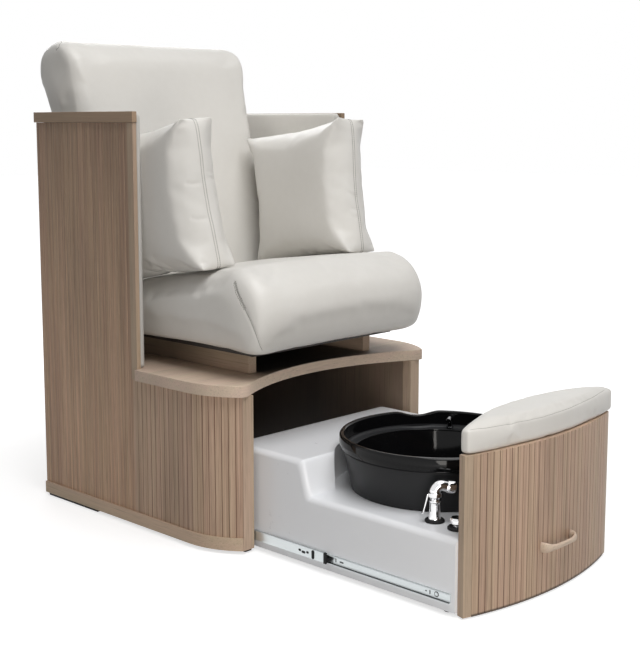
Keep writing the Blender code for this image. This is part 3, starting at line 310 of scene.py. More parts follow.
def stretched_noise(tree, vector, across, along, detail, rough):
    """Noise drawn out along Z, as grain is."""
    stretch = (across, across, along)
    scaled = add(tree, "ShaderNodeVectorMath", {0: vector, 1: stretch}, operation="MULTIPLY")
    inputs = {"Vector": scaled[0], "Scale": 1.0, "Detail": detail, "Roughness": rough}
    return add(tree, "ShaderNodeTexNoise", inputs)["Fac"]


def maths(tree, operation, one, two):
    return add(tree, "ShaderNodeMath", {0: one, 1: two}, operation=operation)[0]


def summed(tree, one, share_one, two, share_two):
    """Two values, each times its share, added up."""
    first = maths(tree, "MULTIPLY", one, share_one)
    return maths(tree, "ADD", first, maths(tree, "MULTIPLY", two, share_two))


def between(tree, value, low, high, out_low=0.0, out_high=1.0):
    """A value brought from one range to another, and held there."""
    inputs = {"Value": value, "From Min": low, "From Max": high, "To Min": out_low, "To Max": out_high}
    return add(tree, "ShaderNodeMapRange", inputs)[0]


def mixed(tree, factor, one, two, blend="MIX"):
    inputs = {0: factor, 6: one, 7: two}
    return add(tree, "ShaderNodeMix", inputs, data_type="RGBA", blend_type=blend)[2]


def group_with(name, inputs, outputs):
    group = bpy.data.node_groups.new(name, "ShaderNodeTree")
    for label, kind, *value in inputs:
        socket = group.interface.new_socket(label, in_out="INPUT", socket_type=kind)
        if value:
            socket.default_value = value[0]
    for label, kind in outputs:
        group.interface.new_socket(label, in_out="OUTPUT", socket_type=kind)
    return group, group.nodes.new("NodeGroupInput").outputs, group.nodes.new("NodeGroupOutput")


COLOUR = "NodeSocketColor"
FLOAT = "NodeSocketFloat"
VECTOR = "NodeSocketVector"


# %% Group: wood grain that runs along Z
def wood_grain_group():
    group, given, out = group_with(
        "Wood grain", [("Vector", VECTOR), ("Light", COLOUR), ("Dark", COLOUR), ("Streaks", FLOAT, 0.6)],
        [("Colour", COLOUR), ("Roughness", FLOAT), ("Height", FLOAT)])
    vector = given["Vector"]
    fibre = stretched_noise(group, vector, 620, 9, 3.0, 0.6)
    fine = stretched_noise(group, vector, 230, 2.2, 3.0, 0.6)
    broad = stretched_noise(group, vector, 58, 0.9, 2.0, 0.5)
    cloud = stretched_noise(group, vector, 7, 1.6, 2.0, 0.5)
    blush = stretched_noise(group, vector, 34, 1.1, 2.0, 0.5)
    pores = between(group, stretched_noise(group, vector, 900, 16, 1.0, 0.5), 0.62, 0.72)
    dashes = between(group, stretched_noise(group, vector, 290, 6.5, 2.0, 0.6), 0.57, 0.68)
    streak = between(group, summed(group, fine, 0.84, broad, 0.16), 0.38, 0.60)
    streak = maths(group, "MULTIPLY", streak, given["Streaks"])
    streak = maths(group, "ADD", streak, maths(group, "SUBTRACT", 1.0, given["Streaks"]))
    colour = mixed(group, streak, given["Dark"], given["Light"])
    tone = between(group, cloud, 0.3, 0.7, 0.86, 1.08)
    tone = maths(group, "MULTIPLY", tone, between(group, fibre, 0.3, 0.7, 0.93, 1.05))
    tone = maths(group, "SUBTRACT", tone, maths(group, "MULTIPLY", pores, 0.16))
    tone = maths(group, "SUBTRACT", tone, maths(group, "MULTIPLY", dashes, 0.20))
    colour = mixed(group, 1.0, colour, tone, "MULTIPLY")
    warmth = mixed(group, between(group, blush, 0.4, 0.6), (0.995, 1.0, 0.975), (1.015, 0.975, 0.985))
    colour = mixed(group, 1.0, colour, warmth, "MULTIPLY")
    rough = between(group, fibre, 0.25, 0.75, 0.42, 0.6)
    height = maths(group, "SUBTRACT", fibre, maths(group, "MULTIPLY", pores, 0.8))
    feed(group, out, {"Colour": colour, "Roughness": rough, "Height": height})
    return group


# %% Group: handling marks, a slow mask for tint and gloss
def handling_group():
    group, given, out = group_with("Handling", [("Vector", VECTOR), ("Size", FLOAT, 6.0)],
                                   [("Mask", FLOAT), ("Fine", FLOAT)])
    slow = add(group, "ShaderNodeTexNoise",
               {"Vector": given["Vector"], "Scale": given["Size"], "Detail": 4.0, "Roughness": 0.6})
    fine_size = maths(group, "MULTIPLY", given["Size"], 22.0)
    fine = add(group, "ShaderNodeTexNoise",
               {"Vector": given["Vector"], "Scale": fine_size, "Detail": 3.0, "Roughness": 0.65})
    feed(group, out, {"Mask": between(group, slow["Fac"], 0.3, 0.7), "Fine": fine["Fac"]})
    return group


# %% Group: vinyl with a fine pebble
def vinyl_grain_group():
    group, given, out = group_with("Vinyl grain", [("Vector", VECTOR), ("Pebbles", FLOAT, 620.0)],
                                   [("Height", FLOAT), ("Mask", FLOAT)])
    cells = add(group, "ShaderNodeTexVoronoi", feature="SMOOTH_F1",
                inputs={"Vector": given["Vector"], "Scale": given["Pebbles"], "Smoothness": 0.6})
    soft = add(group, "ShaderNodeTexNoise",
               {"Vector": given["Vector"], "Scale": 46.0, "Detail": 3.0, "Roughness": 0.5})["Fac"]
    pebble = between(group, cells["Distance"], 0.0, 0.7, 1.0, 0.0)
    feed(group, out, {"Height": summed(group, pebble, 0.35, soft, 0.65),
                      "Mask": between(group, soft, 0.3, 0.7)})
    return group


WOOD_GRAIN = wood_grain_group()
HANDLING = handling_group()
VINYL_GRAIN = vinyl_grain_group()
print("groups", [g.name for g in bpy.data.node_groups])


# %% [markdown]
# ## Materials
# Each material keeps its own shader. A value that is the same all over is set on the shader's socket, and
# only what varies is wired. The cabinet is a grey-brown laminate with a vertical grain, and its trims are a
# plainer tan. The grain turns with the piece: upright on panels, lengthwise on caps and skirtings.


# %% Material helpers
def blank(name):
    made = bpy.data.materials.new(name)
    made.use_nodes = True
    tree = made.node_tree
    shader = tree.nodes["Principled BSDF"]
    return made, tree, shader, add(tree, "ShaderNodeTexCoord")["Object"]


def bump(tree, height, depth):
    return add(tree, "ShaderNodeBump", {"Height": height, "Strength": 1.0, "Distance": depth})[0]


def wood(name, colours, streaks, turn=(0, 0, 0), fades=()):
    """Laminate in a light and a dark colour; each fade paints light or shade as an axis, a start, an end and
    the tone at both.
    """
    light, dark = colours
    made, tree, shader, place = blank(name)
    turned = add(tree, "ShaderNodeMapping", {"Vector": place, "Rotation": turn})[0]
    grain = add(tree, "ShaderNodeGroup", node_tree=WOOD_GRAIN,
                inputs={"Vector": turned, "Light": light, "Dark": dark, "Streaks": streaks})
    colour = grain["Colour"]
    apart = add(tree, "ShaderNodeSeparateXYZ", {0: place})
    for axis, start, end, first, last in fades:
        tone = between(tree, apart[axis], start, end, first, last)
        colour = mixed(tree, 1.0, colour, tone, "MULTIPLY")
    feed(tree, shader, {"Base Color": colour, "Roughness": grain["Roughness"], "Specular IOR Level": 0.35,
                        "Normal": bump(tree, grain["Height"], 0.12 * MM)})
    return made


def plain(name, colour, rough_low, rough_high, metallic=0.0, size=7.0, tint=0.06, depth=0.0, specular=0.5):
    """One moulded or plated finish whose gloss and tint vary a little with handling."""
    made, tree, shader, place = blank(name)
    marks = add(tree, "ShaderNodeGroup", node_tree=HANDLING, inputs={"Vector": place, "Size": size})
    dull = tuple(c * (1 - tint) for c in colour)
    rough = summed(tree, marks["Mask"], 0.6, marks["Fine"], 0.4)
    feed(tree, shader, {"Base Color": mixed(tree, marks["Mask"], dull, colour),
                        "Roughness": between(tree, rough, 0.2, 0.8, rough_low, rough_high),
                        "Metallic": metallic, "Specular IOR Level": specular})
    if depth:
        feed(tree, shader, {"Normal": bump(tree, marks["Fine"], depth)})
    return made


def vinyl(name, fade=None):
    """Soft cream sheet; a fade paints light and shade along Y, from a start to an end, with the tone at both.
    """
    made, tree, shader, place = blank(name)
    grain = add(tree, "ShaderNodeGroup", node_tree=VINYL_GRAIN, inputs={"Vector": place})
    marks = add(tree, "ShaderNodeGroup", node_tree=HANDLING, inputs={"Vector": place, "Size": 4.0})
    tint = summed(tree, marks["Mask"], 0.7, grain["Mask"], 0.3)
    colour = mixed(tree, tint, CREAM_SHADE, CREAM)
    if fade:
        apart = add(tree, "ShaderNodeSeparateXYZ", {0: place})
        colour = mixed(tree, 1.0, colour, between(tree, apart["Y"], *fade), "MULTIPLY")
    rough = between(tree, marks["Mask"], 0, 1, 0.46, 0.38)
    feed(tree, shader, {"Base Color": colour, "Roughness": rough, "Specular IOR Level": 0.4,
                        "Sheen Weight": 0.05, "Normal": bump(tree, grain["Height"], 0.10 * MM)})
    return made


# %% The chair's finishes
LENGTHWISE = (math.pi / 2, 0, 0)
CROSSWISE = (0, math.pi / 2, 0)
LAMINATE = ((0.550, 0.400, 0.290), (0.365, 0.247, 0.173))
TALL = ((0.495, 0.338, 0.228), (0.288, 0.184, 0.120))
TAN = ((0.585, 0.450, 0.330), (0.500, 0.380, 0.272))
POST = ((0.492, 0.372, 0.275), (0.420, 0.315, 0.227))
EDGE = ((0.455, 0.345, 0.250), (0.390, 0.293, 0.208))
CAP = ((0.332, 0.240, 0.160), (0.278, 0.199, 0.131))
JOINT = ((0.350, 0.240, 0.166), (0.190, 0.122, 0.083))
# Painted light: the tall sides' joints are paler than their laminate, to lift the shade in the grooves.
TALL_JOINT_LIFTED = ((0.560, 0.395, 0.272), (0.330, 0.216, 0.143))
PULL = ((0.620, 0.500, 0.395), (0.530, 0.425, 0.335))
# Painted light: the shelf's tan is lighter than the trims' to make up for the seat's shade on it.
SHELF_BRIGHTENED = ((0.650, 0.520, 0.412), (0.560, 0.444, 0.348))
BAY = ((0.200, 0.150, 0.112), (0.160, 0.118, 0.087))
# Painted shade: the board under the seat is near-black, so the opening below the seat reads dark.
UNDERSIDE_SHADE = ((0.030, 0.024, 0.020), (0.018, 0.014, 0.012))
CREAM = (0.715, 0.697, 0.662)
CREAM_SHADE = (0.680, 0.660, 0.622)
FRONT_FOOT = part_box("drawer_front")[0].z
# Painted shadow: the drawer face and its joints darken to a fifth in a band just above their foot.
FOOT_SHADOW = ("Z", FRONT_FOOT + 3 * MM, FRONT_FOOT + 7 * MM, 0.2, 1.0)
# Painted light and shade: the tall sides are lighter low down and darker towards the top.
TALL_PAINTED_LIGHT = ("Z", 0.10, 1.05, 1.22, 0.84)
# Painted shade: the bearers darken towards the rear, under the seat.
BEARER_SHADE = ("Y", 0.12, 0.32, 1.0, 0.42)
# Painted shade: the bay lining is lit up at its front and darkens deep inside.
BAY_SHADE = ("Y", -0.02, 0.30, 1.35, 0.20)
LINER_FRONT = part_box("side_liner_left")[0].y
# Painted shade and light: the liners darken at their front edge and are lighter behind it.
LINER_PAINTED_LIGHT = (LINER_FRONT + 3 * MM, LINER_FRONT + 15 * MM, 0.70, 1.18)

laminate = wood("reeded laminate", LAMINATE, 0.85)
joint_stain = wood("stained slat joint", JOINT, 0.95)
front_laminate = wood("drawer face laminate", LAMINATE, 0.85, fades=[FOOT_SHADOW])
front_joint = wood("drawer face joint", JOINT, 0.95, fades=[FOOT_SHADOW])
tall_laminate = wood("tall side laminate", TALL, 0.95, fades=[TALL_PAINTED_LIGHT])
tall_joint = wood("tall side joint", TALL_JOINT_LIFTED, 0.95, fades=[TALL_PAINTED_LIGHT])
post_upright = wood("post upright", POST, 0.55)
edge_upright = wood("edge strip upright", EDGE, 0.55)
bearer_wood = wood("bearer lengthwise", POST, 0.55, LENGTHWISE, fades=[BEARER_SHADE])
tan_lengthwise = wood("tan trim lengthwise", TAN, 0.55, LENGTHWISE)
pull_wood = wood("pull crosswise", PULL, 0.55, CROSSWISE)
cap_wood = wood("cap lengthwise", CAP, 0.55, LENGTHWISE)
inner_board = wood("dark inner board", UNDERSIDE_SHADE, 0.6)
bay_board = wood("bay lining", BAY, 0.4, fades=[BAY_SHADE])
cream_vinyl = vinyl("cream vinyl")
liner_vinyl = vinyl("liner vinyl", LINER_PAINTED_LIGHT)
# Thread colour for the real stitches, and for the dark cords that paint the shade in open seams.
thread_and_seam_shade = plain("seam thread", (0.200, 0.190, 0.172), 0.6, 0.75, size=60)
white_shell = plain("white moulded shell", (0.860, 0.873, 0.900), 0.27, 0.31, size=2, tint=0.02)
rubber = plain("black rubber", (0.010, 0.010, 0.011), 0.5, 0.7, size=40, depth=0.05 * MM, specular=0.2)
# Painted shade: a near-black finish for the runners' ball race and for the dark slots, rivets and screw ring.
shade_black = plain("greased race", (0.030, 0.032, 0.034), 0.35, 0.5, size=40)
chrome = plain("polished chrome", (0.830, 0.830, 0.840), 0.04, 0.10, 1.0, size=30, tint=0.05)
dark_chrome = plain("dark chrome", (0.240, 0.240, 0.250), 0.06, 0.14, 1.0, size=30)
zinc = plain("zinc plate", (0.640, 0.680, 0.690), 0.28, 0.36, 1.0, size=24, tint=0.05)
print("materials", len(bpy.data.materials))

# %% [markdown]
# ## Wooden panels
# The panels are strips of laminate glued edge to edge round the bow, so the joints show as V grooves. The
# CAD solid already has each groove. Its faces are the narrow ones, so they are picked by their area and get
# a material slot of their own: a darker stain on the low panels, and on the tall sides a joint paler than
# their laminate, as painted light that lifts the shade in the grooves.


# %% Reeded panels
GROOVE_WIDTH = 6 * MM
UPRIGHT = 0.1


def reeded(node, name, finish, joint):
    panel = joined_flats(clean_copy(node, name))
    low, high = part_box(node)
    panel.data.materials.append(finish)
    panel.data.materials.append(joint)
    limit = GROOVE_WIDTH * (high.z - low.z)
    grooves = picked(panel, lambda face: face.area < limit and abs(face.normal.z) < UPRIGHT, faces=True)
    panel.active_material_index = 1
    bpy.ops.object.material_slot_assign()
    bpy.ops.mesh.select_mode(type="VERT")
    leave_edit()
    smooth(panel, 20)
    settle(panel, finish, node)
    print(name, "groove faces", grooves)


for side in SIDES:
    reeded(f"side_panel_{side}", f"tall_side_{side}", tall_laminate, tall_joint)
    reeded(f"bow_panel_{side}", f"bowed_side_{side}", laminate, joint_stain)
reeded("drawer_front", "drawer_face", front_laminate, front_joint)


# %% Shelf finish
# Painted shadow of the seat on the shelf, between the bearers.
SEAT_SHADOW_ACROSS = (0.250, 0.195)
SEAT_SHADOW_DEPTH = (-0.085, 0.015)
SEAT_SHADOW_COLOUR = (0.020, 0.016, 0.013)


def shelf_finish():
    """Tan on show, and a painted shadow of the seat: near-black on the shelf between the bearers under the
    seat.
    """
    made = wood("shelf crosswise", SHELF_BRIGHTENED, 0.55, CROSSWISE)
    tree = made.node_tree
    shader = tree.nodes["Principled BSDF"]
    shown = shader.inputs["Base Color"].links[0].from_socket
    place = add(tree, "ShaderNodeTexCoord")["Object"]
    apart = add(tree, "ShaderNodeSeparateXYZ", {0: place})
    across = maths(tree, "ABSOLUTE", apart["X"], 0.0)
    inside = between(tree, across, *SEAT_SHADOW_ACROSS)
    top = between(tree, apart["Z"], shelf_top - 2 * MM, shelf_top - 1 * MM)
    shadowed = maths(tree, "MULTIPLY", inside, between(tree, apart["Y"], *SEAT_SHADOW_DEPTH))
    shadowed = maths(tree, "MULTIPLY", shadowed, top)
    feed(tree, shader, {"Base Color": mixed(tree, shadowed, shown, SEAT_SHADOW_COLOUR)})
    return made


shelf_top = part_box("deck_shelf")[1].z
shelf_wood = shelf_finish()
print("shelf top at", round(shelf_top, 4))


# %% Trims, posts, shelf and boards
def board(node, title, finish, ease):
    """A flat wooden piece; a bare edge is eased by some millimetres."""
    made = joined_flats(clean_copy(node, title))
    if ease:
        eased(made, ease * MM)
    settle(crisp(made, 30), finish, node)


TRIMS = [
    ("top_cap", "tall_side_cap", cap_wood, 0.0), ("edge_strip", "tall_edge_strip", edge_upright, 1.0),
    ("skirting", "skirting_board", tan_lengthwise, 1.2), ("front_post", "bay_post", post_upright, 0.0),
    ("drawer_post", "drawer_end_post", post_upright, 0.0), ("seat_riser", "seat_bearer", bearer_wood, 0.0),
    ("inner_wall", "bay_wall", bay_board, 0.8),
]
for label, title, finish, ease in TRIMS:
    for side in SIDES:
        board(f"{label}_{side}", f"{title}_{side}", finish, ease)

SINGLES = [("deck_shelf", "shelf_board", shelf_wood, 0.0), ("back_panel", "rear_panel", tall_laminate, 1.0),
           ("seat_board", "seat_base_board", inner_board, 1.0),
           ("footrest_board", "footrest_base", inner_board, 1.0)]
for node, title, finish, ease in SINGLES:
    board(node, title, finish, ease)

pull = turned_smooth(clean_copy("drawer_pull", "bow_pull"), levels=1, crease_angle=50)
settle(pull, pull_wood, "drawer_pull")
print("boards", 2 * len(TRIMS) + len(SINGLES))

# %% [markdown]
# ## Tub, basin and fittings
# The tub is one moulding with soft edges. The basin is turned: its section is drawn as a line of extruded
# points, its corners are rounded with a vertex bevel, and the line is spun.

# %% Tub
tub = joined_flats(clean_copy("drawer_tub", "moulded_tub"), 0.2)
settle(crisp(tub, 38), white_shell, "drawer_tub")
print("tub", len(tub.data.polygons), "faces")


# %% Basin
def section_line(name, points):
    """A line of vertices made by extruding one point from place to place."""
    obj = primitive(name, bpy.ops.mesh.primitive_plane_add, size=0.01, location=points[0])
    edit(obj)
    bpy.ops.mesh.merge(type="CENTER")
    for here, there in zip(points, points[1:]):
        bpy.ops.mesh.extrude_region_move(TRANSFORM_OT_translate={"value": Vector(there) - Vector(here)})
    return obj


basin_low, basin_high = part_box("basin")
basin_centre = (basin_low + basin_high) / 2
rim_radius = (basin_high.x - basin_low.x) / 2
rim_top = basin_high.z
BASIN_SECTION = [
    (0.030, -0.233), (0.066, -0.233), (0.1364, -0.2265), (0.1716, -0.2006), (0.1892, -0.139),
    (0.2115, -0.049), (0.2120, -0.044), (0.2345, -0.044), (0.2375, -0.038), (0.2375, -0.003), (0.2395, 0.0),
    (0.2475, 0.0), (0.2505, -0.004), (0.2515, -0.020), (0.2495, -0.0322), (0.2415, -0.033), (0.2415, -0.036),
    (0.2435, -0.038), (0.2200, -0.139), (0.2130, -0.180), (0.1936, -0.233), (0.1452, -0.247), (0.030, -0.247),
]
points = [(basin_centre.x + r, basin_centre.y, rim_top + z) for r, z in BASIN_SECTION]
basin = section_line("foot_basin", points)
select_mesh()
bpy.ops.mesh.bevel(offset=1.1 * MM, segments=3, affect="VERTICES", offset_type="OFFSET")
select_mesh()
bpy.ops.mesh.spin(steps=128, angle=2 * math.pi, center=basin_centre, axis=(0, 0, 1), use_normal_flip=True)
select_mesh()
bpy.ops.mesh.remove_doubles(threshold=0.02 * MM)
bpy.ops.mesh.normals_make_consistent(inside=False)
leave_edit()
print("basin", len(basin.data.vertices), "vertices")

# %% Rim dip and basin finish
DIP_AT = math.radians(52)
DIP = 12 * MM
DIP_REACH = 0.058
BAND = rim_top - 36 * MM
SHOULDER = 0.214
GLOSS_BLACK = (0.005, 0.005, 0.0055)
BODY_BLACK = (0.020, 0.0205, 0.022)
dip_place = basin_centre + Vector((math.cos(DIP_AT), math.sin(DIP_AT), 0)) * (rim_radius - 8 * MM)


def on_dip(vertex):
    return (vertex.co.xy - dip_place.xy).length < 9 * MM and vertex.co.z > rim_top - 6 * MM


def basin_finish():
    """Gloss above the band's lower line, a duller moulded body below it."""
    made, tree, shader, place = blank("basin gloss and body")
    apart = add(tree, "ShaderNodeSeparateXYZ", {0: place})
    flat = add(tree, "ShaderNodeCombineXYZ", {"X": apart["X"], "Y": apart["Y"]})[0]
    middle = (basin_centre.x, basin_centre.y, 0)
    across = add(tree, "ShaderNodeVectorMath", {0: flat, 1: middle}, operation="DISTANCE")
    low = between(tree, apart["Z"], BAND - 0.5 * MM, BAND + 0.5 * MM, 1.0, 0.0)
    outside = between(tree, across["Value"], SHOULDER - 0.5 * MM, SHOULDER + 0.5 * MM)
    body = maths(tree, "MULTIPLY", low, outside)
    marks = add(tree, "ShaderNodeGroup", node_tree=HANDLING, inputs={"Vector": place, "Size": 6.0})
    gloss = between(tree, marks["Mask"], 0, 1, 0.05, 0.09)
    dull = between(tree, marks["Fine"], 0.2, 0.8, 0.30, 0.36)
    rough = summed(tree, gloss, maths(tree, "SUBTRACT", 1.0, body), dull, body)
    feed(tree, shader, {"Base Color": mixed(tree, body, GLOSS_BLACK, BODY_BLACK), "Roughness": rough,
                        "Specular IOR Level": 0.18})
    return made


pulled(basin, on_dip, (0, 0, -DIP), DIP_REACH)
smooth(basin, 50)
settle(basin, basin_finish(), "basin")
print("rim dips by", round(DIP / MM), "mm")

# %% Fittings
FITTINGS = [
    ("basin_drain", "drain_cover", chrome, 1), ("fill_spout", "filling_spout", dark_chrome, 2),
    ("sprayer", "hand_sprayer", chrome, 2), ("sprayer_lever", "sprayer_trigger_blade", chrome, 1),
    ("valve_knob", "mixing_knob", chrome, 1), ("sprayer_socket", "sprayer_grommet", rubber, 1),
    ("valve_ring", "knob_grommet", rubber, 1), ("roller_left", "drawer_wheel_left", rubber, 1),
    ("roller_right", "drawer_wheel_right", rubber, 1), ("roller_axle_left", "wheel_pin_left", zinc, 1),
    ("roller_axle_right", "wheel_pin_right", zinc, 1),
]
HEAD_LEVEL = 0.238
HEAD_FULLER = 2.5 * MM
for node, title, finish, levels in FITTINGS:
    fitting = clean_copy(node, title)
    if node == "sprayer":
        picked(fitting, lambda vertex: vertex.co.z > HEAD_LEVEL)
        bpy.ops.transform.shrink_fatten(value=HEAD_FULLER)
        leave_edit()
    settle(turned_smooth(fitting, levels), finish, node)
print("fittings", len(FITTINGS))


# %% Slides, glides and brackets
def shade_painted(sheet, finish):
    """Paint the ball race on the lower lip of a runner near-black, as painted shade for the gap under the
    lip.
    """
    sheet.data.materials.append(finish)
    sheet.data.materials.append(shade_black)
    found = places(sheet)
    middle = (found[:, 2].min() + found[:, 2].max()) / 2
    for face in sheet.data.polygons:
        low = face.center.z < middle - 6 * MM
        face.material_index = int(low and face.normal.z > 0.9)


SHEETS = [("slide_inner", "drawer_runner", zinc), ("slide_middle", "middle_runner", zinc),
          ("slide_outer", "cabinet_runner", zinc), ("slide_stop", "runner_stop", rubber),
          ("front_glide", "front_foot", rubber), ("rear_glide", "rear_foot", rubber),
          ("back_bracket", "back_strap", zinc)]
for label, title, finish in SHEETS:
    for side in SIDES:
        sheet = joined_flats(clean_copy(f"{label}_{side}", f"{title}_{side}"))
        if label in ("slide_inner", "slide_middle"):
            shade_painted(sheet, finish)
        eased(sheet, 0.25 * MM)
        settle(smooth(sheet, 30), finish, f"{label}_{side}")
print("sheets", 2 * len(SHEETS))

# %% [markdown]
# ## Small parts on the runners
# Pressed slots, a rubber bumper and one screw show on each runner. One oblong is drawn: a small disc is
# pulled apart at its middle, extruded and given a raised centre. Each detail is that oblong at its own
# size, and a ray from the side finds the sheet that it sits on.


# %% Oblongs on the runners
SUNK = 0.2 * MM


def oblong(name, node, side, y, z, length, height, proud, finish):
    """A rounded plate of a length along the runner and a height across it."""
    seat_place = solid_faces(node).ray_cast(Vector((side * 0.6, y, z)), Vector((-side, 0, 0)))[0]
    radius = min(length, height) / 2
    plate = primitive(name, bpy.ops.mesh.primitive_circle_add, vertices=20, radius=radius, fill_type="NGON",
                      location=seat_place, rotation=(0, math.pi / 2, 0))
    axis = 1 if length > height else 2
    reach = max(length, height) / 2 - radius
    for vertex in plate.data.vertices:
        vertex.co[axis] += math.copysign(reach, vertex.co[axis] - seat_place[axis])
        vertex.co.x -= side * SUNK
    edit(plate)
    bpy.ops.mesh.extrude_region_move(TRANSFORM_OT_translate={"value": (side * (proud + SUNK), 0, 0)})
    bpy.ops.mesh.inset(thickness=radius * 0.3, depth=0)
    bpy.ops.transform.translate(value=(side * proud * 0.4, 0, 0))
    select_mesh()
    bpy.ops.mesh.normals_make_consistent(inside=False)
    leave_edit()
    return settle(smooth(plate, 50), finish, node, stands_for=False)


# The slots, rivets and screw ring are dark plates: painted shade for holes and gaps in the runners; the slots
# in black rubber, the rest in the near-black shade finish.
DETAILS = [
    ("pressed_slot_a", "slide_middle", -0.2450, 0.0420, 9.0, 6.0, 0.3, rubber),
    ("pressed_slot_b", "slide_middle", -0.2580, 0.0395, 13.0, 6.5, 0.3, rubber),
    ("pressed_slot_c", "slide_middle", -0.2720, 0.0420, 9.0, 6.0, 0.3, rubber),
    ("bumper", "slide_middle", -0.2910, 0.0410, 9.0, 23.0, 1.2, rubber),
    ("stop_cap", "slide_stop", -0.3350, 0.0410, 9.0, 26.0, 1.5, rubber),
    ("rivet_a", "slide_inner", -0.3500, 0.0412, 4.0, 4.0, 0.3, shade_black),
    ("upright_slot_a", "slide_inner", -0.3600, 0.0410, 3.0, 10.0, 0.3, shade_black),
    ("long_slot", "slide_inner", -0.3790, 0.0405, 13.0, 4.0, 0.3, shade_black),
    ("rivet_b", "slide_inner", -0.6415, 0.0412, 4.0, 4.0, 0.3, shade_black),
    ("upright_slot_b", "slide_inner", -0.6530, 0.0410, 3.0, 10.0, 0.3, shade_black),
    ("screw_ring", "slide_inner", -0.6720, 0.0410, 13.0, 13.0, 0.4, shade_black),
    ("screw_head", "slide_inner", -0.6720, 0.0410, 9.0, 9.0, 1.2, zinc),
]
for side_name, side in zip(SIDES, (-1, 1)):
    for title, node, y, z, *sizes, finish in DETAILS:
        sizes = [size * MM for size in sizes]
        oblong(f"{title}_{side_name}", f"{node}_{side_name}", side, y, z, *sizes, finish)
print("runner details", 2 * len(DETAILS))

# %% [markdown]
# ## Upholstery
# A foam cushion under vinyl is soft all over and has no flat face. Each one starts from its solid, is
# remeshed into even squares, drawn in a little, and then blown up with cloth pressure like a balloon. No
# point may move further than a cap or leave the room that its solid holds, so neighbours stay clear.
# Afterwards the back's top and the seat's rear edge are pulled out a little. Liners are only smoothed.


# %% Cloth helpers
BLOW_STEPS = 20


def puffed(obj, pressure, cap, stiffness, bending):
    """Blow the mesh up with cloth pressure; no point moves further than the cap."""
    rest = places(obj)
    alone(obj)
    bpy.ops.object.modifier_add(type="CLOTH")
    cloth = obj.modifiers[-1]
    set_up(cloth.settings, quality=4, mass=0.3, tension_stiffness=stiffness, compression_stiffness=stiffness,
           shear_stiffness=stiffness / 3, bending_stiffness=bending, use_pressure=True,
           uniform_pressure_force=pressure)
    cloth.settings.effector_weights.gravity = 0
    cloth.collision_settings.use_collision = False
    cloth.point_cache.frame_end = BLOW_STEPS
    for step in range(1, BLOW_STEPS + 1):
        bpy.context.scene.frame_set(step)
    graph = bpy.context.evaluated_depsgraph_get()
    blown = obj.evaluated_get(graph).to_mesh()
    found = np.array([v.co for v in blown.vertices])
    alone(obj)
    bpy.ops.object.modifier_remove(modifier=cloth.name)
    bpy.context.scene.frame_set(1)
    move = found - rest
    far = np.linalg.norm(move, axis=1, keepdims=True)
    move *= np.minimum(1.0, cap / np.maximum(far, 1e-9))
    set_places(obj, rest + move)
    print(obj.name, "moved up to", round(float(far.max()) / MM, 1), "mm")
    return obj


def relaxed(obj, rounds, group="", swell=False):
    """Even a skin out; with swell, each round is followed by one outwards, so that it keeps its volume."""
    passes = [(0.5, 1), (-0.52, 1)] * rounds if swell else [(0.5, rounds)]
    for factor, count in passes:
        set_up(obj.modifiers.new("Relaxed", "SMOOTH"), iterations=count, factor=factor, vertex_group=group)
    return apply_all(obj)


def kept_inside(obj, node, proud, top=None):
    """Bring back any point that stands further out of the solid than it may, on top or elsewhere."""
    solid = solid_faces(node)
    found = places(obj)
    moved = 0
    for i, place in enumerate(found):
        near, normal = solid.find_nearest(Vector(place))[:2]
        out = (Vector(place) - near).dot(normal)
        limit = top if top and normal.z > 0.6 else proud
        if out > limit:
            found[i] = near + normal * limit
            moved += 1
    set_places(obj, found)
    print(obj.name, "held back", moved, "of", len(found))


def remeshed(node, name, voxel):
    obj = clean_copy(node, name)
    obj.data.remesh_voxel_size = voxel
    alone(obj)
    bpy.ops.object.voxel_remesh()
    return obj


def cushion(node, name, voxel, drawn_in, proud, pressure=0.0, cap=0.0, rounds=2, top=None, swell=False):
    """Foam piece: a smaller copy of its solid, remeshed, blown up and smoothed."""
    obj = remeshed(node, name, voxel)
    relaxed(obj, 3, swell=swell)
    edit(obj)
    bpy.ops.transform.shrink_fatten(value=-drawn_in)
    leave_edit()
    if pressure:
        puffed(obj, pressure, cap, stiffness=18.0, bending=8.0)
    kept_inside(obj, node, proud, top)
    relaxed(obj, rounds, swell=swell)
    return obj


# %% Seat, back, footrest and liners
seat = cushion("seat_cushion", "seat_pad", voxel=0.008, drawn_in=2.5 * MM, proud=0.8 * MM, pressure=2.5,
               cap=8 * MM, rounds=7)
back = cushion("back_cushion", "back_pad", voxel=0.010, drawn_in=2.5 * MM, proud=0.8 * MM, pressure=2.5,
               cap=8 * MM, rounds=8, swell=True)
crown_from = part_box("back_cushion")[1].z - 25 * MM
rear_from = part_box("seat_cushion")[1].y - 30 * MM
pulled(back, lambda vertex: vertex.co.z > crown_from, (0, 0, 11 * MM), 0.16)
pulled(seat, lambda vertex: vertex.co.y > rear_from, (0, 15 * MM, 0), 0.07)
rest_pad = cushion("footrest_pad", "footrest_cushion", voxel=0.0045, drawn_in=0.8 * MM, proud=0.4 * MM,
                   pressure=9.0, cap=9 * MM, rounds=6, top=8 * MM)

for side in SIDES:
    liner = cushion(f"side_liner_{side}", f"padded_liner_{side}", 0.007, drawn_in=0.2 * MM, proud=0.2 * MM)
    settle(smooth(liner, 60), liner_vinyl, f"side_liner_{side}")

cover = joined_flats(clean_copy("back_board", "back_cover_board"))
settle(smooth(cover, 40), cream_vinyl, "back_board")

# %% [markdown]
# ## Arm pillows
# The loose pillows are boxed: two faces and a band round them, with a seam along the middle of the band.
# The skin is remeshed and smoothed everywhere but at the eight corners, so the sides turn soft and the
# corners stay as pointed ears. Pressure then crowns the faces. The right pillow mirrors the left one.


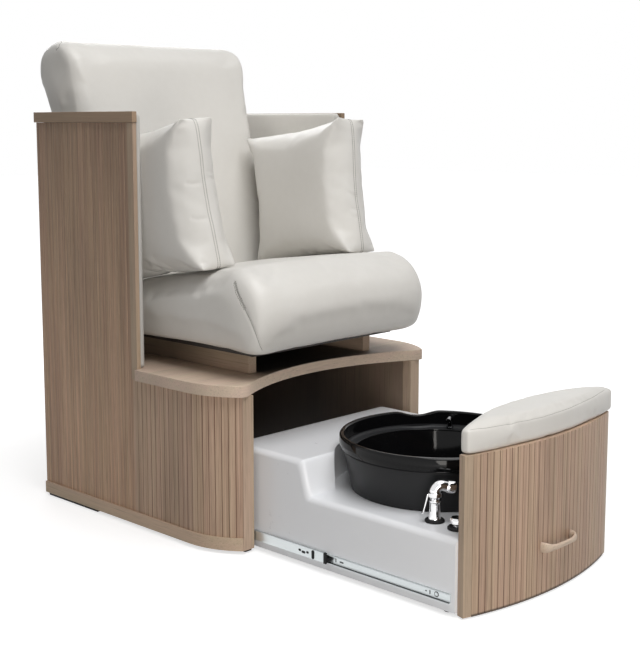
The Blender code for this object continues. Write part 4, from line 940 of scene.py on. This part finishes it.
# %% Pillow form
CORNER_REACH = (0.014, 0.075)
UNDERSIDE_REACH = (0, 0.07)
UNDERSIDE_SHARE = 0.05
EAR_RADIUS = 0.013
EAR_LENGTH = 4 * MM


def corners_of(node):
    """The eight corners of a boxed pillow, named by their side in x, y and z."""
    found = [v.co.copy() for v in frame["nodes"][node].data.vertices]
    middle = sum(found, Vector()) / len(found)
    return {way: max(found, key=lambda place: (place - middle).dot(Vector(way)))
            for way in itertools.product((-1, 1), repeat=3)}


def soft_share(obj, corners):
    """A vertex group that is 0 at the corners, low along the underside and 1 elsewhere."""
    group = obj.vertex_groups.new(name="soft")
    found = places(obj)
    spots = np.array([tuple(corner) for corner in corners.values()])
    near = np.linalg.norm(found[:, None] - spots[None], axis=2).min(axis=1)
    under = corners[-1, -1, -1]
    up = (corners[1, -1, -1] - under).cross(corners[-1, 1, -1] - under).normalized()
    height = (found - np.array(under)) @ np.array(up)
    shares = np.interp(near, CORNER_REACH, (0, 1)) * np.interp(height, UNDERSIDE_REACH, (UNDERSIDE_SHARE, 1))
    for i, share in enumerate(shares):
        group.add([i], float(share), "REPLACE")
    return group.name


def pillow(node, name):
    """A boxed pillow, soft all over but for its corners, which end in short ears."""
    obj = remeshed(node, name, voxel=0.006)
    corners = corners_of(node)
    soft = soft_share(obj, corners)
    relaxed(obj, 70, soft)
    puffed(obj, pressure=5.0, cap=15 * MM, stiffness=15.0, bending=2.0)
    kept_inside(obj, node, proud=0.3 * MM)
    relaxed(obj, 26, soft)
    found = places(obj)
    middle = sum(corners.values(), Vector()) / 8
    for corner in corners.values():
        out = corner - middle
        out = Vector((0, out.y, max(0.0, out.z))).normalized()
        share = np.exp(-(np.linalg.norm(found - np.array(corner), axis=1) / EAR_RADIUS) ** 2)
        found += share[:, None] * np.array(out) * EAR_LENGTH
    set_places(obj, found)
    obj.vertex_groups.clear()
    return obj


left_pillow = pillow("arm_pillow_left", "loose_pillow_left")
right_pillow = twin(left_pillow, "loose_pillow_right")
right_pillow.scale.x = -1
apply_place()
edit(right_pillow)
bpy.ops.mesh.normals_make_consistent(inside=False)
leave_edit()

SOFT = ((seat, "seat_cushion", 0.85), (back, "back_cushion", 0.85), (rest_pad, "footrest_pad", 0.9),
        (left_pillow, "arm_pillow_left", 0.8), (right_pillow, "arm_pillow_right", 0.8))
for obj, node, fill in SOFT:
    settle(subdivided(obj, 1, 60), cream_vinyl, node)
print("soft faces", [len(obj.data.polygons) for obj, node, fill in SOFT])

# %% [markdown]
# ## Seams
# A sewn seam shows as a shallow valley, pressed into the finished skin. The pillows' closed seams have a
# row of stitches on each side, and an open seam has a thin dark cord in its valley, as painted shade for
# the gap. One stitch is modelled, and an Array along a curve lays the row, as a sewing machine would. Short
# creases show where a seam pulls.


# %% Lines on a skin
def skin_of(obj):
    bpy.context.view_layer.update()
    return BVHTree.FromObject(obj, bpy.context.evaluated_depsgraph_get())


def laid_on(skin, line, lift=0.0):
    """A line brought to the skin, with the skin's normals."""
    laid = []
    normals = []
    for place in line:
        near, normal = skin.find_nearest(Vector(place))[:2]
        laid.append(near + normal * lift)
        normals.append(normal)
    return laid, normals


def drawn_line(points, spacing, closed=False):
    """Evenly spaced points on the line through the given ones."""
    spots = np.array([tuple(point) for point in points] + ([tuple(points[0])] if closed else []))
    run = np.concatenate([[0], np.cumsum(np.linalg.norm(np.diff(spots, axis=0), axis=1))])
    count = max(2, round(run[-1] / spacing))
    at = np.linspace(0, run[-1], count, endpoint=not closed)
    return [Vector(spot) for spot in np.stack([np.interp(at, run, spots[:, k]) for k in range(3)], axis=1)]


def pressed_in(obj, line, depth, width):
    """Sink the skin along a line; the valley fades out sideways."""
    finder = KDTree(len(line))
    for i, place in enumerate(line):
        finder.insert(place, i)
    finder.balance()
    found = places(obj)
    normals = np.zeros(found.size)
    obj.data.vertices.foreach_get("normal", normals)
    normals = normals.reshape(-1, 3)
    spots = np.array([tuple(place) for place in line])
    reach = 3 * width
    close = np.all((found > spots.min(axis=0) - reach) & (found < spots.max(axis=0) + reach), axis=1)
    for i in np.flatnonzero(close):
        far = finder.find(found[i])[2]
        if far < reach:
            found[i] -= normals[i] * depth * math.exp(-(far / width) ** 2)
    set_places(obj, found)


# %% One stitch
STITCH_LENGTH = 4.0 * MM
STITCH_PITCH = 5.6 * MM
stitch = primitive("stitch", bpy.ops.mesh.primitive_cylinder_add, vertices=6, radius=0.7 * MM,
                   depth=STITCH_LENGTH - 1.0 * MM, location=(STITCH_LENGTH / 2, 0, 0),
                   rotation=(0, math.pi / 2, 0))
picked(stitch, lambda face: abs(face.normal.x) > 0.9, faces=True)
bpy.ops.mesh.inset(thickness=0.3 * MM, depth=0.5 * MM, use_individual=True)
bpy.ops.mesh.select_mode(type="VERT")
leave_edit()
print("stitch", len(stitch.data.polygons), "faces")


# %% Rows of stitches and seams
LINE_SPACING = 4 * MM
CORD_LIFT = 0.1 * MM
STITCH_LIFT = 0.35 * MM
TWIN_ROWS = (-4 * MM, 4 * MM)
CREASE_WIDTH = 6 * MM


def linked(name, data):
    made = bpy.data.objects.new(name, data)
    bpy.context.scene.collection.objects.link(made)
    return made


def guide_line(name, line, closed=False):
    """A curve through the points of a line."""
    path = set_up(bpy.data.curves.new(name, "CURVE"), dimensions="3D")
    spline = path.splines.new("POLY")
    spline.points.add(len(line) - 1)
    for point, place in zip(spline.points, line):
        point.co = (*place, 1)
    spline.use_cyclic_u = closed
    return linked(name, path)


def seam_shadow_cord(name, line, node, radius):
    """Painted shade along an open seam: a thin dark cord in the valley where two pieces of vinyl meet."""
    guide = guide_line(name, line)
    set_up(guide.data, bevel_depth=radius, bevel_resolution=1, use_fill_caps=True)
    alone(guide)
    bpy.ops.object.convert(target="MESH")
    cord = bpy.context.view_layer.objects.active
    return settle(smooth(cord, 60), thread_and_seam_shade, node, stands_for=False)


def stitched(name, line, node, closed=False):
    """A row of stitches along a line, on the body of the node that it is sewn into."""
    guide = guide_line(f"{name}_path", line, closed)
    path = guide.data
    row = twin(stitch, name)
    set_up(row.modifiers.new("Many stitches", "ARRAY"), fit_type="FIT_CURVE", curve=guide,
           use_relative_offset=False, use_constant_offset=True, constant_offset_displace=(STITCH_PITCH, 0, 0))
    set_up(row.modifiers.new("Along the seam", "CURVE"), object=guide, deform_axis="POS_X")
    bpy.context.view_layer.update()
    apply_all(row)
    bpy.data.objects.remove(guide)
    bpy.data.curves.remove(path)
    return settle(smooth(row, 60), thread_and_seam_shade, node, stands_for=False)


def sewn(obj, name, node, points, rows, closed=False, depth=1.2 * MM, width=3.5 * MM, cord=0.6 * MM):
    """Press a seam into a cushion, with a dark cord of painted shade if it is open, and stitches at distances
    beside it.
    """
    line, normals = laid_on(skin_of(obj), drawn_line(points, LINE_SPACING, closed))
    pressed_in(obj, line, depth, width)
    skin = skin_of(obj)
    if depth and not closed:
        seam_shadow_cord(f"{name}_line", laid_on(skin, line, CORD_LIFT)[0], node, cord)
    last = len(line) - 1
    for number, offset in enumerate(rows):
        row = []
        for k, place in enumerate(line):
            ahead = line[(k + 1) % len(line)] if closed else line[min(k + 1, last)]
            behind = line[k - 1] if closed else line[max(k - 1, 0)]
            row.append(place + (ahead - behind).cross(normals[k]).normalized() * offset)
        stitched(f"{name}_{number + 1}", laid_on(skin, row, STITCH_LIFT)[0], node, closed)


# %% Seams of the pillows
for obj, side in zip((left_pillow, right_pillow), SIDES):
    node = f"arm_pillow_{side}"
    corners = corners_of(node)
    ring = [(corners[-1, y, z] + corners[1, y, z]) / 2 for y, z in ((-1, -1), (-1, 1), (1, 1), (1, -1))]
    sewn(obj, f"pillow_stitching_{side}", node, ring, TWIN_ROWS, closed=True, depth=1.4 * MM)

LEFT_CREASES = [
    ((-0.348, 0.127, 0.944), (-0.330, 0.121, 0.941), (-0.306, 0.118, 0.943), 1.5),
    ((-0.346, 0.110, 0.855), (-0.325, 0.106, 0.850), (-0.298, 0.102, 0.851), 1.2),
    ((-0.273, 0.123, 0.973), (-0.258, 0.125, 0.969), (-0.242, 0.127, 0.968), 1.2),
    ((-0.271, 0.121, 0.957), (-0.255, 0.124, 0.953), (-0.236, 0.126, 0.952), 1.0),
]
RIGHT_CREASES = [
    ((0.259, 0.113, 0.897), (0.275, 0.109, 0.888), (0.290, 0.105, 0.883), 1.3),
    ((0.262, 0.104, 0.850), (0.272, 0.101, 0.846), (0.283, 0.099, 0.845), 1.5),
    ((0.257, 0.099, 0.828), (0.270, 0.097, 0.824), (0.283, 0.095, 0.824), 1.2),
]
for obj, creases in ((left_pillow, LEFT_CREASES), (right_pillow, RIGHT_CREASES)):
    skin = skin_of(obj)
    for *spots, depth in creases:
        line = laid_on(skin, drawn_line(spots, LINE_SPACING))[0]
        pressed_in(obj, line[1:-1], depth * MM, CREASE_WIDTH)
print("creases", len(LEFT_CREASES) + len(RIGHT_CREASES))

# %% Seams of the seat, the footrest and the back
SEAT_SEAM = [(0.330, -0.031, 0.699), (0.334, -0.044, 0.680), (0.336, -0.076, 0.637), (0.3345, -0.096, 0.604),
             (0.327, -0.114, 0.560), (0.313, -0.116, 0.5325), (0.303, -0.113, 0.5205)]
BACK_DART = [(0.3134, 0.717, 1.3295), (0.331, 0.7015, 1.3195), (0.339, 0.7006, 1.312), (0.343, 0.708, 1.305)]
for name, side in zip(SIDES, (-1, 1)):
    seam = [(side * x, y, z) for x, y, z in SEAT_SEAM]
    dart = [(side * x, y, z) for x, y, z in BACK_DART]
    sewn(seat, f"seat_seam_{name}", "seat_cushion", seam, (), depth=2.0 * MM)
    sewn(seat, f"seat_top_stitch_{name}", "seat_cushion", seam[:3], TWIN_ROWS, depth=0)
    sewn(back, f"back_dart_{name}", "back_cushion", dart, (), depth=2.4 * MM)
PAD_SEAM = [(-0.280, -0.743, 0.4316), (-0.259, -0.749, 0.4313), (-0.2365, -0.757, 0.4303),
            (-0.152, -0.7754, 0.4302), (-0.053, -0.7885, 0.4295), (0.053, -0.7857, 0.431),
            (0.1786, -0.7683, 0.432), (0.2687, -0.7476, 0.4327)]
sewn(rest_pad, "footrest_seam", "footrest_pad", PAD_SEAM, (), depth=0.6 * MM, width=2.5 * MM, cord=0.32 * MM)
bpy.data.objects.remove(stitch)

# %% [markdown]
# ## Studio
# A soft key light hangs above and a little in front, a weak lamp stands low on the left, and another behind
# keeps the back readable. The floor and the sky look white to the camera and in reflections, but hardly
# light the chair. Near the chair the floor glows less, so that the shadow on it stays in view.


# %% Floor
def seen_in(tree):
    """1 for rays from the camera, in reflections and through clear pieces, and 0 for those that light."""
    rays = add(tree, "ShaderNodeLightPath")
    seen = maths(tree, "MAXIMUM", rays["Is Camera Ray"], rays["Is Glossy Ray"])
    return maths(tree, "MAXIMUM", seen, rays["Is Transmission Ray"])


floor = primitive("studio_floor", bpy.ops.mesh.primitive_plane_add, size=40, location=(0, 0, -0.0005))
floor_finish, tree, shader, place = blank("studio floor")
far_out = add(tree, "ShaderNodeVectorMath", {0: place}, operation="LENGTH")
glow = between(tree, far_out["Value"], 0.9, 2.6, 0.66, 1.0)
feed(tree, shader, {"Base Color": (0.50, 0.50, 0.50), "Roughness": 0.8, "Specular IOR Level": 0.2,
                    "Emission Color": (1, 1, 1),
                    "Emission Strength": maths(tree, "MULTIPLY", seen_in(tree), glow)})
floor.data.materials.append(floor_finish)
floor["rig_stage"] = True

# %% Sky
SKY_LIGHT = 0.13
world = bpy.data.worlds.new("studio sky")
bpy.context.scene.world = world
world.use_nodes = True
tree = world.node_tree
sky = tree.nodes["Background"]
feed(tree, sky, {"Color": (1, 1, 1), "Strength": between(tree, seen_in(tree), 0, 1, SKY_LIGHT, 1.0)})


# %% Lamps
def aimed(name, data, place, way):
    """Put a lamp or a camera at a place, looking along a way."""
    made = linked(name, data)
    made.location = place
    made.rotation_euler = way.to_track_quat("-Z", "Y").to_euler()
    return made


def lamp(name, place, aim, size, watts, colour=(1, 1, 1), gleam=1.0):
    data = set_up(bpy.data.lights.new(name, "AREA"), shape="DISK", size=size, energy=watts, color=colour,
                  specular_factor=gleam)
    aimed(name, data, place, Vector(aim) - Vector(place)).visible_camera = False


WARM = (1.0, 0.96, 0.91)
lamp("key", (-0.45, -1.5, 4.0), aim=(0, -0.1, 0.5), size=3.0, watts=125)
lamp("low left", (-1.6, -2.2, 0.40), aim=(-0.1, -0.5, 0.3), size=1.0, watts=18, colour=WARM, gleam=0.0)
lamp("rear", (1.5, 3.5, 2.5), aim=(0, 0.3, 0.6), size=2.4, watts=40)
print("lamps", [light.name for light in bpy.data.lights])

# %% Camera at the photograph's angle
CAMERA_PLACE = Vector((-2.4045, -2.3294, 1.0971))
YAW = 0.7657
PITCH = 0.1348
IMAGE_HEIGHT = 661
LOWER_BY = 40.5
data = set_up(bpy.data.cameras.new("photo camera"), sensor_width=36.0, lens=66.997,
              shift_y=-LOWER_BY / IMAGE_HEIGHT)
ahead = Vector((math.cos(YAW) * math.cos(PITCH), math.sin(YAW) * math.cos(PITCH), -math.sin(PITCH)))
bpy.context.scene.camera = aimed("photo camera", data, CAMERA_PLACE, ahead)
bpy.context.scene.view_settings.view_transform = "Standard"

# %% Sizes and the end
low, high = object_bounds()
sizes = {"cad": [list(cad_low), list(cad_high)], "visual": [list(low), list(high)]}
print("visual box", [round(v, 4) for v in low], [round(v, 4) for v in high])
